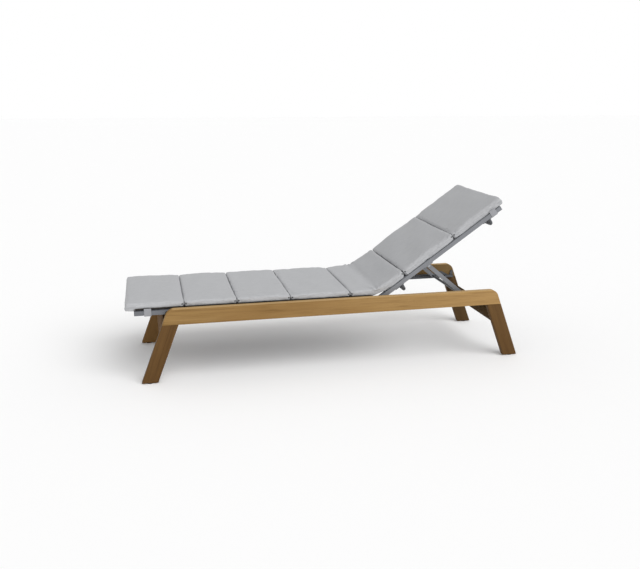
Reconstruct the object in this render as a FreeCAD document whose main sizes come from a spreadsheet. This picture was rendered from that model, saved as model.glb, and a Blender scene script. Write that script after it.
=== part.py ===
"""Sun lounger: a teak base, a grey metal frame with slings, a propped backrest and a sewn cushion.

X runs from the foot end to the head end, Y across, Z up, and the feet stand on Z = 0.
The occupant's left is -Y. The backrest is drawn raised by rest_angle, with its prop in the racks.
"""
import FreeCAD, Part
import math
import os

import Sketcher

SIDES = (("left", -1), ("right", 1))
ENDS = (("foot", -1), ("head", 1))

DRIVING_SIZES = (
    ("frame_shift", 25, "middle of the leg span, measured from the origin"),
    ("half_width", 302.5, "middle plane to the outer face of a rail"),
    ("rail_top", 348, "floor to the top of a rail"),
    ("rail_depth", 75, "height of a rail board"),
    ("rail_thick", 28, "thickness of the rails and legs"),
    ("rail_round", 42, "radius of the rail's upper end corners"),
    ("foot_reach", 930, "middle of the leg span to the outer edge of a foot"),
    ("leg_splay", 104, "how far a leg leans out between rail and floor"),
    ("leg_width", 74, "leg board, measured level"),
    ("board_drop", 96, "underside of a rail to the lower inner edge of a cross board"),
    ("board_height", 70, "cross board, along its slope"),
    ("board_thick", 26, "thickness of a cross board"),
    ("foot_board_inset", 30, "foot cross board's face behind the legs' inner edge"),
    ("head_board_inset", 5, "head cross board's face behind the legs' inner edge"),
    ("dowel_radius", 5, "wooden dowels"),
    ("dowel_length", 44, "wooden dowels, half in each board"),
    ("dowel_pitch", 34, "distance between a pair of dowels"),
    ("glide_height", 3, "plastic glide under a foot"),
    ("glide_radius", 14, "plastic glide under a foot"),
    ("stem_radius", 3, "stem of a glide"),
    ("stem_length", 16, "stem of a glide"),
    ("fit_gap", 0.1, "gap around a fixed pin, screw or plug in its bore"),
    ("running_gap", 0.05, "gap around a turning pin in its bore"),
    ("bore_room", 1, "room past the end of a blind bore"),
    ("overrun", 2, "how far a cutting shape passes the face it cuts"),
    ("hinge_inset", 724, "outer edge of a head foot to the backrest hinge, along the rail"),
    ("hinge_drop", 22, "top of a rail to the hinge and the middle of the seat tubes"),
    ("rest_angle", 35, "slope of the backrest as drawn, degrees"),
    ("rail_gap", 8, "space between a rail and a side tube"),
    ("tube_width", 26, "side tube, across"),
    ("tube_height", 20, "side tube, upright"),
    ("tube_wall", 2, "wall of the metal tubes"),
    ("seat_overhang", 15, "foot end of the frame beyond the feet"),
    ("back_length", 739, "hinge to the head end of the frame"),
    ("end_gap", 4, "space between the seat tube and the backrest tube"),
    ("side_gap", 0.5, "backrest tube inside the faces of the seat tube"),
    ("channel_radius", 3.5, "round channel that holds the sling's welt"),
    ("channel_inset", 6, "inner face of a tube to the middle of its channel"),
    ("channel_rise", 4, "middle of a tube to the middle of its channel"),
    ("slot_height", 2.5, "slot that lets the sling out of its channel"),
    ("chamber_inset", 12, "inner face of a tube to its hollow chamber"),
    ("welt_radius", 3.2, "rod inside the sling's hem"),
    ("sling_thick", 1.2, "woven sling"),
    ("sling_hold", 2.5, "how far the sling reaches into a tube"),
    ("sling_foot_inset", 95, "foot end of the frame to the seat sling's foot hem"),
    ("sling_hinge_inset", 56, "hinge to the seat sling's upper hem"),
    ("back_sling_low", 40, "hinge to the lower hem of the backrest sling"),
    ("sling_head_inset", 69, "head end of the frame to the backrest sling's upper hem"),
    ("end_bar_width", 20, "straight cross bar at each end of the frame"),
    ("end_bar_inset", 2, "end of the tubes to the straight cross bar"),
    ("cap_thick", 3, "plastic caps on tube ends"),
    ("cap_plug", 15, "plug of a cap inside its tube"),
    ("spreader_radius", 8.5, "cross bars bent up at their ends"),
    ("spreader_drop", 34, "underside of a tube to the middle of a bent bar"),
    ("spreader_bend", 18, "radius of a bent bar's corners, at its middle"),
    ("flange_tail", 38, "middle of a bent bar to the long end of its flange"),
    ("flange_nose", 12, "middle of a bent bar to the short end of its flange"),
    ("flange_thick", 3, "plate that holds a bent bar's end"),
    ("flange_screw_near", 19, "middle of a bent bar to its flange's first screw"),
    ("flange_screw_far", 31, "middle of a bent bar to its flange's second screw"),
    ("back_spreader_low", 128, "hinge to the backrest's lower bent bar"),
    ("back_spreader_inset", 78, "head end of the frame to the backrest's upper bent bar"),
    ("screw_radius", 2, "shank of the small screws"),
    ("screw_head_radius", 3.5, "head of the small screws"),
    ("screw_head", 2.2, "height of a small screw's head"),
    ("screw_bite", 8, "depth of a small screw in what it holds"),
    ("bolt_radius", 2.5, "bolts from the seat tubes into the rails"),
    ("bolt_head_radius", 4.5, "head of a frame bolt"),
    ("bolt_head", 3.5, "height of a frame bolt's head"),
    ("bolt_bite", 18, "depth of a frame bolt in its rail"),
    ("bolt_drop", 4.5, "frame bolts below the middle of the tube"),
    ("spacer_radius", 9, "plastic spacer between rail and tube"),
    ("plate_length", 53, "hinge plate, from its end to the pin"),
    ("plate_thick", 4, "hinge plates"),
    ("plate_screw_near", 24, "hinge pin to the plate's first screw"),
    ("plate_screw_far", 43, "hinge pin to the plate's second screw"),
    ("rivet_radius", 4, "pins of the hinge and the prop"),
    ("rivet_head_radius", 7, "heads of those pins"),
    ("rivet_head", 2.5, "heads of those pins"),
    ("bush_radius", 6, "outside of the hinge bush"),
    ("bush_gap", 0.2, "end of a bush to the seat tube's face line"),
    ("prop_reach", 292, "hinge to the prop's pivot along the backrest"),
    ("prop_drop", 23, "prop's pivot below the middle of the tube"),
    ("prop_angle", 39.8352, "slope of the prop as drawn, degrees"),
    ("prop_gap", 0.5, "prop leg to its bracket and to the pin's head"),
    ("prop_width", 20, "prop leg, a flat bar"),
    ("prop_thick", 10, "prop leg, a flat bar"),
    ("bracket_length", 44, "prop bracket along the tube"),
    ("bracket_thick", 4, "prop bracket's plate and tongue"),
    ("bracket_round", 11, "round end of the bracket's tongue"),
    ("bracket_screw_pitch", 28, "distance between the bracket's screws"),
    ("bracket_screw_out", 16, "inner face of the tube to those screws"),
    ("foot_rise", 21, "underside of a rail to the middle of the prop's foot bar"),
    ("foot_bar_radius", 7.5, "prop's foot bar"),
    ("foot_bar_wall", 1.5, "prop's foot bar"),
    ("foot_end_gap", 1, "end of the foot bar to the rack's screws"),
    ("tip_gap", 0.4, "foot bar above the tips of the teeth"),
    ("rack_inner_margin", 20.483, "steepest notch to the rack's inner end"),
    ("rack_outer_margin", 54.826, "flattest notch to the rack's outer end"),
    ("rack_lift", 0.5, "rack above the underside of its rail"),
    ("rack_height", 21.5, "height of the rack plate"),
    ("stop_height", 37.5, "height of the rack's end stop"),
    ("stop_width", 12, "length of the end stop along the rack"),
    ("valley_inset", 20, "end of the rack to the bottom of its parking notch"),
    ("valley_rise", 8.5, "underside of the rack to the bottom of its parking notch"),
    ("crest_height", 34.5, "height of the crest before the parking notch"),
    ("crest_inset", 66, "end of the rack to the near side of the crest"),
    ("crest_width", 12, "length of the crest along the rack"),
    ("crest_run", 12, "length of the slope up to the crest"),
    ("rack_plate_thick", 4, "rack plate on the rail"),
    ("rack_ledge", 12, "width of the toothed bar"),
    ("notch_depth", 6, "notches of the toothed bar"),
    ("rack_screw_rise", 17.6, "underside of a rail to the rack's screws"),
    ("rack_screw_inset", 26, "end of a rack to its first screw"),
    ("cushion_inset", 0.2, "outer face of the tubes to the cushion's side"),
    ("cushion_foot", 40, "foot end of the cushion beyond the frame"),
    ("cushion_head", 24, "head end of the cushion beyond the frame"),
    ("cushion_thick", 33, "cushion at its seams"),
    ("cushion_crown", 3, "rise of a panel's middle over its seams"),
    ("cushion_gap", 0.3, "cushion above the tubes"),
    ("seam_gap", 0.4, "space between neighbouring panels"),
    ("hinge_panel_start", 146, "hinge to the lower seam of the panel that bends"),
    ("hinge_panel_end", 168, "hinge to the upper seam of the panel that bends"),
    ("bend_reach", 50, "how far the bend runs each way from the hinge"),
    ("strap_foot_inset", 44, "foot end of the frame to the foot straps"),
    ("strap_head_inset", 62, "head end of the frame to the head straps"),
    ("strap_width", 32, "webbing straps"),
    ("strap_thick", 1.5, "webbing straps"),
    ("strap_gap", 0.3, "webbing straps around their tube"),
    ("strap_rise", 12, "outer end of a strap above its tube"),
)

# Slopes of the backrest that the notches of the racks hold, in degrees.
NOTCH_ANGLES = (19, 27, 35, 43, 50, 57)

# Heights of the dowels that hold a cross board, as shares of its height.
DOWEL_HEIGHT_SHARES = (0.25, 0.75)

# Places of a rack's screws along the run between its first and last screw.
RACK_SCREW_SHARES = (0, 0.3, 0.6, 0.86)

# Places of the seat's bent bars and the frame bolts along the run from the rails' foot end
# to the hinge.
SEAT_SPREADER_SHARES = (0.122093, 0.50969, 0.897287)
BOLT_SHARES = (0.0251938, 0.393411, 0.819767)

# Lengths of the four seat panels as shares of their run.
SEAT_PANEL_SHARES = (0.252, 0.230228, 0.241114, 0.276658)

# Sections of a cushion panel across its width. Each row holds the place as a share of the half
# width, then the lift of the underside, the height of the upper seam and the drawing-in of the
# ends as shares of the thickness, and the crown as a share of the full crown.
CUSHION_SECTION_SHARES = (
    (-1.00, 0.20, 0.76, 0.18, 0.10),
    (-0.97, 0.05, 0.95, 0.05, 0.50),
    (-0.80, 0.00, 1.00, 0.00, 1.00),
    (0.80, 0.00, 1.00, 0.00, 1.00),
    (0.97, 0.05, 0.95, 0.05, 0.50),
    (1.00, 0.20, 0.76, 0.18, 0.10),
)
TUCK_SHARE = 0.2

doc = FreeCAD.newDocument("SunLounger")
sheet = doc.addObject("Spreadsheet::Sheet", "Sizes")
for row, (alias, number, note) in enumerate(DRIVING_SIZES, start=1):
    sheet.set(f"A{row}", alias)
    sheet.set(f"B{row}", str(number))
    sheet.set(f"C{row}", note)
    sheet.setAlias(f"B{row}", alias)
doc.recompute()


class Size:
    """A size of the sheet, or a sum of such sizes, with its value and its expression."""

    def __init__(self, value, text):
        self.value = value
        self.text = text

    def join(self, sign, other, value):
        text = other.text if isinstance(other, Size) else repr(float(other))
        return Size(value, f"({self.text} {sign} {text})")

    def __add__(self, other):
        return self.join("+", other, self.value + float(other))

    def __sub__(self, other):
        return self.join("-", other, self.value - float(other))

    def __mul__(self, other):
        return self.join("*", other, self.value * float(other))

    def __truediv__(self, other):
        return self.join("/", other, self.value / float(other))

    __radd__ = __add__
    __rmul__ = __mul__

    def __neg__(self):
        return self * -1

    def __float__(self):
        return float(self.value)


class SheetSizes:
    """The sheet's sizes by name."""

    def __getattr__(self, alias):
        return Size(float(sheet.get(alias)), f"Sizes.{alias}")


size = SheetSizes()
nothing = Size(0.0, "0")

# Places that several pieces share.
rail_low = size.rail_top - size.rail_depth
rail_inner = size.half_width - size.rail_thick
rail_middle = size.half_width - size.rail_thick / 2
slope = size.leg_splay / rail_low
board_low = rail_low - size.board_drop
hinge_place = size.foot_reach - size.hinge_inset
hinge_height = size.rail_top - size.hinge_drop
foot_level = rail_low + size.foot_rise
rack_low = rail_low + size.rack_lift
rack_screw_height = rail_low + size.rack_screw_rise
seat_reach = size.foot_reach + size.seat_overhang
rail_end_low = size.foot_reach - size.leg_splay
rail_end_high = rail_end_low - size.rail_depth * slope
tube_outer = rail_inner - size.rail_gap
tube_inner = tube_outer - size.tube_width
tube_half = size.tube_height / 2
back_outer = tube_outer - size.side_gap
back_inner = tube_inner + size.side_gap
seat_tube_foot = -seat_reach + size.cap_thick
seat_tube_hinge = hinge_place - tube_half - size.end_gap
back_tube_head = size.back_length - size.cap_thick
cushion_half = tube_outer - size.cushion_inset
lean = math.atan(float(slope))
tilt = math.radians(float(size.rest_angle))

nodes = {}


def across(side, near, far):
    """The lower Y of a piece between two distances from the middle plane, on one side."""
    return near if side > 0 else -far


def vector(x, y, z):
    return FreeCAD.Vector(float(x), float(y), float(z))


def bind(item, **properties):
    """Tie an object's sizes to the sheet."""
    for name, value in properties.items():
        item.setExpression(name, value.text)


def put(item, x, y, z):
    """Tie an object's place to the sheet."""
    for axis, value in zip("xyz", (x, y, z)):
        item.setExpression(f"Placement.Base.{axis}", value.text)


def box(x, y, z, length, width, height):
    """A box from its lower corner and its sizes along X, Y and Z."""
    item = doc.addObject("Part::Box", "Block")
    bind(item, Length=length, Width=width, Height=height)
    put(item, x, y, z)
    return item


AXIS_TURNS = {
    "x": FreeCAD.Rotation(FreeCAD.Vector(0, 1, 0), 90),
    "y": FreeCAD.Rotation(FreeCAD.Vector(1, 0, 0), -90),
    "z": FreeCAD.Rotation(),
}

# Turns of a quarter ring that leads from the middle of a cross bar up to one side.
BEND_TURNS = {
    1: AXIS_TURNS["x"],
    -1: FreeCAD.Rotation(FreeCAD.Vector(0, 0, 1), 180) * AXIS_TURNS["x"],
}


def rod(axis, x, y, z, radius, length):
    """A round bar from the middle of its first end, along one axis."""
    item = doc.addObject("Part::Cylinder", "Rod")
    item.Placement = FreeCAD.Placement(FreeCAD.Vector(), AXIS_TURNS[axis])
    bind(item, Radius=radius, Height=length)
    put(item, x, y, z)
    return item


def fuse(*items):
    item = doc.addObject("Part::MultiFuse", "Fusion")
    item.Shapes = list(items)
    item.Refine = True
    return item


def group(items):
    item = doc.addObject("Part::Compound", "Group")
    item.Links = list(items)
    return item


def cut(item, tools):
    """An object with one or more shapes taken out of it."""
    result = doc.addObject("Part::Cut", "Cutting")
    result.Base = item
    result.Tool = tools[0] if len(tools) == 1 else fuse(*tools)
    return result


def on_base(label, item):
    """Name a sub-part that stands with the base."""
    item.Label = label
    item.Placement.Base.x = float(size.frame_shift)
    bind(item, **{"Placement.Base.x": size.frame_shift})
    nodes[label] = item


def on_backrest(label, item):
    """Name a sub-part that is drawn from the hinge along a level backrest, and tilt it."""
    item.Label = label
    item.Placement = FreeCAD.Placement(
        FreeCAD.Vector(), FreeCAD.Rotation(FreeCAD.Vector(0, -1, 0), float(size.rest_angle)))
    put(item, size.frame_shift + hinge_place, nothing, hinge_height)
    bind(item, **{"Placement.Rotation.Angle": size.rest_angle})
    nodes[label] = item


def sine(angle):
    return Size(math.sin(math.radians(float(angle))), f"sin({angle.text})")


def cosine(angle):
    return Size(math.cos(math.radians(float(angle))), f"cos({angle.text})")


def root(square):
    return Size(math.sqrt(float(square)), f"sqrt({square.text})")


def backrest_point(along, above, angle):
    """X from the middle of the leg span and Z of a backrest point, at a slope in degrees."""
    x = hinge_place + cosine(angle) * along - sine(angle) * above
    z = hinge_height + sine(angle) * along + cosine(angle) * above
    return x, z


pivot_x, pivot_z = backrest_point(size.prop_reach, -size.prop_drop, size.rest_angle)
prop_length = (pivot_z - foot_level) / sine(size.prop_angle)


def prop_foot_place(degrees):
    """X of the prop's foot bar with the backrest at a slope, from the middle of the leg span."""
    x, z = backrest_point(size.prop_reach, -size.prop_drop, Size(degrees, repr(float(degrees))))
    drop = z - foot_level
    return x + root(prop_length * prop_length - drop * drop)


rack_start = prop_foot_place(NOTCH_ANGLES[-1]) - size.rack_inner_margin
rack_end = prop_foot_place(NOTCH_ANGLES[0]) + size.rack_outer_margin


def on_prop(label, item):
    """Name a sub-part that is drawn from the prop's pivot along +X, and lower it to the racks."""
    item.Label = label
    item.Placement = FreeCAD.Placement(
        FreeCAD.Vector(), FreeCAD.Rotation(FreeCAD.Vector(0, 1, 0), float(size.prop_angle)))
    put(item, size.frame_shift + pivot_x, nothing, pivot_z)
    bind(item, **{"Placement.Rotation.Angle": size.prop_angle})
    nodes[label] = item


def outline_board(name, points, thickness):
    """A board padded both ways from the XZ plane, from the corners of its outline."""
    body = doc.addObject("PartDesign::Body", name)
    sketch = body.newObject("Sketcher::SketchObject", f"{name}_outline")
    plane = [item for item in body.Origin.OriginFeatures if item.Role == "XZ_Plane"][0]
    sketch.AttachmentSupport = [(plane, "")]
    sketch.MapMode = "FlatFace"
    count = len(points)
    for index, (x, z) in enumerate(points):
        next_x, next_z = points[(index + 1) % count]
        sketch.addGeometry(Part.LineSegment(vector(x, z, 0), vector(next_x, next_z, 0)), False)
    for index in range(count):
        sketch.addConstraint(
            Sketcher.Constraint("Coincident", index, 2, (index + 1) % count, 1))
    for index, point in enumerate(points):
        for kind, value in zip(("DistanceX", "DistanceY"), point):
            number = sketch.addConstraint(
                Sketcher.Constraint(kind, -1, 1, index, 1, float(value)))
            sketch.setExpression(f"Constraints[{number}]", value.text)
    pad = body.newObject("PartDesign::Pad", f"{name}_board")
    pad.Profile = sketch
    pad.SideType = "Symmetric"
    bind(pad, Length=thickness)
    doc.recompute()
    return body, pad


def dowel_spots(end, side):
    """Lower ends of the two dowels between a leg and its rail."""
    middle = rail_end_low - size.leg_width / 2
    for half in (-1, 1):
        x = (middle + size.dowel_pitch * (half / 2)) * end
        yield x, rail_middle * side, rail_low - size.dowel_length / 2


def board_reach(end):
    """Middle of the leg span to the lower inner edge of a cross board."""
    inset = size.head_board_inset if end > 0 else size.foot_board_inset
    return size.foot_reach - size.leg_width - board_low * slope + inset


def board_dowel_spots(end, side):
    """Lower Y ends of the two dowels between a cross board and a leg."""
    inner_x = board_reach(end)
    y = across(side, rail_inner - size.dowel_length / 2, rail_inner + size.dowel_length / 2)
    for share in DOWEL_HEIGHT_SHARES:
        up = size.board_height * share
        out = size.board_thick / 2
        x = (inner_x + out * math.cos(lean) - up * math.sin(lean)) * end
        z = board_low + out * math.sin(lean) + up * math.cos(lean)
        yield x, y, z


def seat_places(shares):
    """Places along the run from the foot end of the rails to the hinge."""
    return [(rail_end_low + hinge_place) * share - rail_end_low for share in shares]


def bolt_places():
    return seat_places(BOLT_SHARES)


def rack_screw_places():
    first = rack_start + size.rack_screw_inset
    run = rack_end - rack_start - size.rack_screw_inset * 2
    return [first + run * share for share in RACK_SCREW_SHARES]


bolt_height = hinge_height - size.bolt_drop
bore_radius = size.dowel_radius + size.fit_gap
bore_length = size.dowel_length + size.bore_room * 2
rack_screw_bite = size.rack_plate_thick + size.screw_bite


def make_rails():
    """Side rails with rounded upper corners, bored for dowels, frame bolts and rack screws."""
    corners = (
        (-rail_end_low, rail_low),
        (rail_end_low, rail_low),
        (rail_end_high, size.rail_top),
        (-rail_end_high, size.rail_top),
    )
    for name, side in SIDES:
        body, pad = outline_board(f"rail_{name}", corners, size.rail_thick)
        fillet = body.newObject("PartDesign::Fillet", f"rail_{name}_round")
        top_edges = [
            f"Edge{index}"
            for index, edge in enumerate(pad.Shape.Edges, start=1)
            if abs(edge.tangentAt(edge.FirstParameter).y) > 0.9
            and edge.CenterOfMass.z > float(rail_low + size.rail_depth / 2)
        ]
        fillet.Base = (pad, top_edges)
        bind(fillet, Radius=size.rail_round)
        put(body, nothing, rail_middle * side, nothing)
        bores = []
        for _, end in ENDS:
            for x, y, z in dowel_spots(end, side):
                bores.append(rod("z", x, y, z - size.bore_room, bore_radius, bore_length))
        for x in bolt_places():
            reach = size.bolt_bite + size.bore_room
            y = across(side, rail_inner - size.overrun, rail_inner + reach)
            radius = size.bolt_radius + size.fit_gap
            bores.append(rod("y", x, y, bolt_height, radius, reach + size.overrun))
        for x in rack_screw_places():
            reach = size.screw_bite + size.bore_room
            y = across(side, rail_inner - size.overrun, rail_inner + reach)
            radius = size.screw_radius + size.fit_gap
            bores.append(rod("y", x, y, rack_screw_height, radius, reach + size.overrun))
        on_base(f"side_rail_{name}", cut(body, bores))


def glide_place(end, side):
    """Middle of a leg's foot."""
    x = size.foot_reach - size.glide_height * slope - size.leg_width / 2
    return x * end, rail_middle * side


def make_legs():
    """Splayed legs, flush with the rails and bored for dowels and glides."""
    outer_foot = size.foot_reach - size.glide_height * slope
    for end_name, end in ENDS:
        corners = (
            (rail_end_low * end, rail_low),
            ((rail_end_low - size.leg_width) * end, rail_low),
            ((outer_foot - size.leg_width) * end, size.glide_height),
            (outer_foot * end, size.glide_height),
        )
        for name, side in SIDES:
            body, _ = outline_board(f"leg_{end_name}_{name}", corners, size.rail_thick)
            put(body, nothing, rail_middle * side, nothing)
            bores = []
            for x, y, z in dowel_spots(end, side):
                bores.append(rod("z", x, y, z - size.bore_room, bore_radius, bore_length))
            for x, y, z in board_dowel_spots(end, side):
                bores.append(rod("y", x, y - size.bore_room, z, bore_radius, bore_length))
            x, y = glide_place(end, side)
            stem = size.stem_length + size.bore_room
            bores.append(rod("z", x, y, nothing, size.stem_radius + size.fit_gap, stem))
            on_base(f"leg_{end_name}_{name}", cut(body, bores))


def make_cross_boards():
    """Boards between the legs, leaning as the legs do."""
    for end_name, end in ENDS:
        board = box(across(end, nothing, size.board_thick), -rail_inner, nothing,
                    size.board_thick, rail_inner * 2, size.board_height)
        bores = []
        for _, side in SIDES:
            reach = size.dowel_length / 2 + size.bore_room
            y = across(side, rail_inner - reach, rail_inner + reach)
            for share in DOWEL_HEIGHT_SHARES:
                bores.append(rod("y", size.board_thick * (end / 2), y,
                                 size.board_height * share, bore_radius, bore_length))
        item = cut(board, bores)
        label = f"cross_board_{end_name}"
        item.Label = label
        item.Placement = FreeCAD.Placement(
            FreeCAD.Vector(),
            FreeCAD.Rotation(FreeCAD.Vector(0, -1, 0), math.degrees(lean) * end))
        put(item, size.frame_shift + board_reach(end) * end, nothing, board_low)
        nodes[label] = item


def make_dowels_and_glides():
    """Dowels of the leg joints and of the cross boards, and the plastic glides."""
    dowels = []
    glides = []
    for _, end in ENDS:
        for _, side in SIDES:
            for spot in dowel_spots(end, side):
                dowels.append(rod("z", *spot, size.dowel_radius, size.dowel_length))
            for spot in board_dowel_spots(end, side):
                dowels.append(rod("y", *spot, size.dowel_radius, size.dowel_length))
            x, y = glide_place(end, side)
            disc = rod("z", x, y, nothing, size.glide_radius, size.glide_height)
            stem = rod("z", x, y, nothing, size.stem_radius, size.stem_length)
            glides.append(fuse(disc, stem))
    on_base("dowels", group(dowels))
    on_base("foot_glides", group(glides))


def side_tube(side, start, stop, inner, outer, level, bores, round_end=False):
    """A side tube along X with its hollow chamber, its welt channel and the channel's slot."""
    length = stop - start
    blank = box(start, across(side, inner, outer), level - tube_half,
                length, outer - inner, size.tube_height)
    if round_end:
        y = across(side, inner, outer)
        blank = fuse(blank, rod("y", start, y, level, tube_half, outer - inner))
    first = start - tube_half - size.overrun
    run = length + tube_half + size.overrun * 2
    channel = inner + size.channel_inset
    channel_level = level + size.channel_rise
    chamber = inner + size.chamber_inset
    tools = [
        rod("x", first, channel * side, channel_level, size.channel_radius, run),
        box(first, across(side, inner - size.overrun, channel),
            channel_level - size.slot_height / 2,
            run, size.channel_inset + size.overrun, size.slot_height),
        box(first, across(side, chamber, outer - size.tube_wall),
            level - tube_half + size.tube_wall,
            run, outer - size.tube_wall - chamber, size.tube_height - size.tube_wall * 2),
    ]
    return cut(blank, tools + bores)


def end_cap(side, inner, outer, level, face, tube_end, end):
    """A cap over a tube's end, with a plug in the tube's chamber."""
    plate = box(face if end < 0 else tube_end, across(side, inner, outer), level - tube_half,
                size.cap_thick, outer - inner, size.tube_height)
    near = inner + size.chamber_inset + size.fit_gap
    far = outer - size.tube_wall - size.fit_gap
    low = size.tube_wall + size.fit_gap
    plug = box(tube_end if end < 0 else tube_end - size.cap_plug, across(side, near, far),
               level - tube_half + low, size.cap_plug, far - near, size.tube_height - low * 2)
    return fuse(plate, plug)


def end_bar(start, half_length, level):
    """A straight square cross tube between the side tubes."""
    outside = box(start, -half_length, level - tube_half,
                  size.end_bar_width, half_length * 2, size.tube_height)
    wall = size.tube_wall
    inside = box(start + wall, -half_length - size.overrun, level - tube_half + wall,
                 size.end_bar_width - wall * 2, (half_length + size.overrun) * 2,
                 size.tube_height - wall * 2)
    return cut(outside, [inside])


def spreader(place, inner, outer, level):
    """A round cross bar that bends up at both ends to meet the side tubes from below."""
    leg = (inner + outer) / 2
    straight = leg - size.spreader_bend
    low = level - tube_half - size.spreader_drop
    bars = [rod("y", place, -straight, low, size.spreader_radius, straight * 2)]
    for _, side in SIDES:
        corner = doc.addObject("Part::Torus", "Bend")
        corner.Placement = FreeCAD.Placement(FreeCAD.Vector(), BEND_TURNS[side])
        corner.Angle3 = 90
        bind(corner, Radius1=size.spreader_bend, Radius2=size.spreader_radius)
        put(corner, place, straight * side, low + size.spreader_bend)
        bars.append(corner)
        bars.append(rod("z", place, leg * side, low + size.spreader_bend,
                        size.spreader_radius, size.spreader_drop - size.spreader_bend))
    return fuse(*bars)


def flange_screw_spots(places):
    """X of the flange screws on one tube."""
    for place in places:
        yield place - size.flange_screw_near
        yield place - size.flange_screw_far


def screw_up(x, y, level, through, room=None):
    """A small screw pointing up from under a piece, or the bore for it where room is given."""
    length = through + size.screw_bite
    if room is not None:
        start = level - size.overrun
        return rod("z", x, y, start, size.screw_radius + room, length + size.overrun + size.bore_room)
    head = rod("z", x, y, level - size.screw_head, size.screw_head_radius, size.screw_head)
    shank = rod("z", x, y, level - size.screw_head, size.screw_radius, length + size.screw_head)
    return fuse(head, shank)


def flange_bores(side, places, inner, outer, level):
    """Bores for the flange screws in one side tube."""
    middle = (inner + size.chamber_inset + outer - size.tube_wall) / 2
    underside = level - tube_half - size.flange_thick
    return [screw_up(x, middle * side, underside, size.flange_thick, size.fit_gap)
            for x in flange_screw_spots(places)]


def make_flanges(add, prefix, places, inner, outer, level):
    """Plates around the bent bars' ends, under both side tubes, with their screws."""
    plates = []
    screws = []
    underside = level - tube_half - size.flange_thick
    middle = (inner + size.chamber_inset + outer - size.tube_wall) / 2
    for _, side in SIDES:
        for place in places:
            plate = box(place - size.flange_tail, across(side, inner, outer), underside,
                        size.flange_tail + size.flange_nose, outer - inner, size.flange_thick)
            bores = flange_bores(side, [place], inner, outer, level)
            bores.append(rod("z", place, (inner + outer) * (side / 2), underside - size.overrun,
                             size.spreader_radius + size.fit_gap,
                             size.flange_thick + size.overrun * 2))
            plates.append(cut(plate, bores))
            screws += [screw_up(x, middle * side, underside, size.flange_thick)
                       for x in flange_screw_spots([place])]
    add(f"{prefix}_flanges", group(plates))
    add(f"{prefix}_flange_screws", group(screws))


def strap(side, start, inner, outer, level):
    """A webbing loop under a side tube, open at the top, with its outer end up the cushion's side."""
    near = inner - size.strap_gap - size.strap_thick
    far = outer + size.strap_gap + size.strap_thick
    low = level - tube_half - size.strap_gap - size.strap_thick
    height = level + tube_half + size.strap_rise - low
    block = box(start, across(side, near, far), low, size.strap_width, far - near, height)
    first = start - size.overrun
    run = size.strap_width + size.overrun * 2
    hollow = box(first, across(side, near + size.strap_thick, far - size.strap_thick),
                 low + size.strap_thick, run, far - near - size.strap_thick * 2, height)
    top = box(first, across(side, near - size.overrun, near + size.strap_thick + size.overrun),
              level + tube_half, run, size.strap_thick + size.overrun * 2,
              size.strap_rise + size.overrun)
    return cut(block, [hollow, top])


def seat_spreader_places():
    return seat_places(SEAT_SPREADER_SHARES)


def back_spreader_places():
    return size.back_spreader_low, size.back_length - size.back_spreader_inset


def plate_screw_places():
    return hinge_place - size.plate_screw_near, hinge_place - size.plate_screw_far


def make_seat_frame():
    """Seat tubes with their bars, flanges, caps, sling, straps and the bolts into the rails."""
    level = hinge_height
    caps = []
    welts = []
    spacers = []
    bolts = []
    straps = []
    bolt_bore = size.bolt_radius + size.fit_gap
    sling_start = size.sling_foot_inset - seat_reach
    sling_run = hinge_place - size.sling_hinge_inset - sling_start
    for name, side in SIDES:
        bores = flange_bores(side, seat_spreader_places(), tube_inner, tube_outer, level)
        for x in bolt_places():
            y = across(side, tube_inner - size.overrun, tube_outer + size.overrun)
            through = size.tube_width + size.overrun * 2
            bores.append(rod("y", x, y, bolt_height, bolt_bore, through))
            tip = rail_inner + size.bolt_bite
            shank = rod("y", x, across(side, tube_inner, tip), bolt_height,
                        size.bolt_radius, tip - tube_inner)
            head_y = across(side, tube_inner - size.bolt_head, tube_inner)
            head = rod("y", x, head_y, bolt_height, size.bolt_head_radius, size.bolt_head)
            bolts.append(fuse(shank, head))
            y = across(side, tube_outer, rail_inner)
            disc = rod("y", x, y, bolt_height, size.spacer_radius, size.rail_gap)
            hole = rod("y", x, y - size.overrun, bolt_height, bolt_bore,
                       size.rail_gap + size.overrun * 2)
            spacers.append(cut(disc, [hole]))
        for x in plate_screw_places():
            reach = size.screw_bite + size.bore_room
            y = across(side, tube_inner - size.overrun, tube_inner + reach)
            bores.append(rod("y", x, y, bolt_height, size.screw_radius + size.fit_gap,
                             reach + size.overrun))
        tube = side_tube(side, seat_tube_foot, seat_tube_hinge, tube_inner, tube_outer, level, bores)
        on_base(f"seat_tube_{name}", tube)
        caps.append(end_cap(side, tube_inner, tube_outer, level, -seat_reach, seat_tube_foot, -1))
        welts.append(rod("x", sling_start, (tube_inner + size.channel_inset) * side,
                         level + size.channel_rise, size.welt_radius, sling_run))
        straps.append(strap(side, size.strap_foot_inset - seat_reach, tube_inner, tube_outer, level))
    on_base("seat_end_bar", end_bar(seat_tube_foot + size.end_bar_inset, tube_inner, level))
    for name, place in zip(("foot", "middle", "hinge"), seat_spreader_places()):
        on_base(f"seat_spreader_{name}", spreader(place, tube_inner, tube_outer, level))
    make_flanges(on_base, "seat", seat_spreader_places(), tube_inner, tube_outer, level)
    sling_half = tube_inner + size.sling_hold
    sling = box(sling_start, -sling_half,
                level + size.channel_rise - size.sling_thick / 2,
                sling_run, sling_half * 2, size.sling_thick)
    on_base("seat_sling", group([sling]))
    on_base("seat_welts", group(welts))
    on_base("seat_end_caps", group(caps))
    on_base("rail_spacers", group(spacers))
    on_base("seat_frame_bolts", group(bolts))
    on_base("foot_straps", group(straps))


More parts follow.
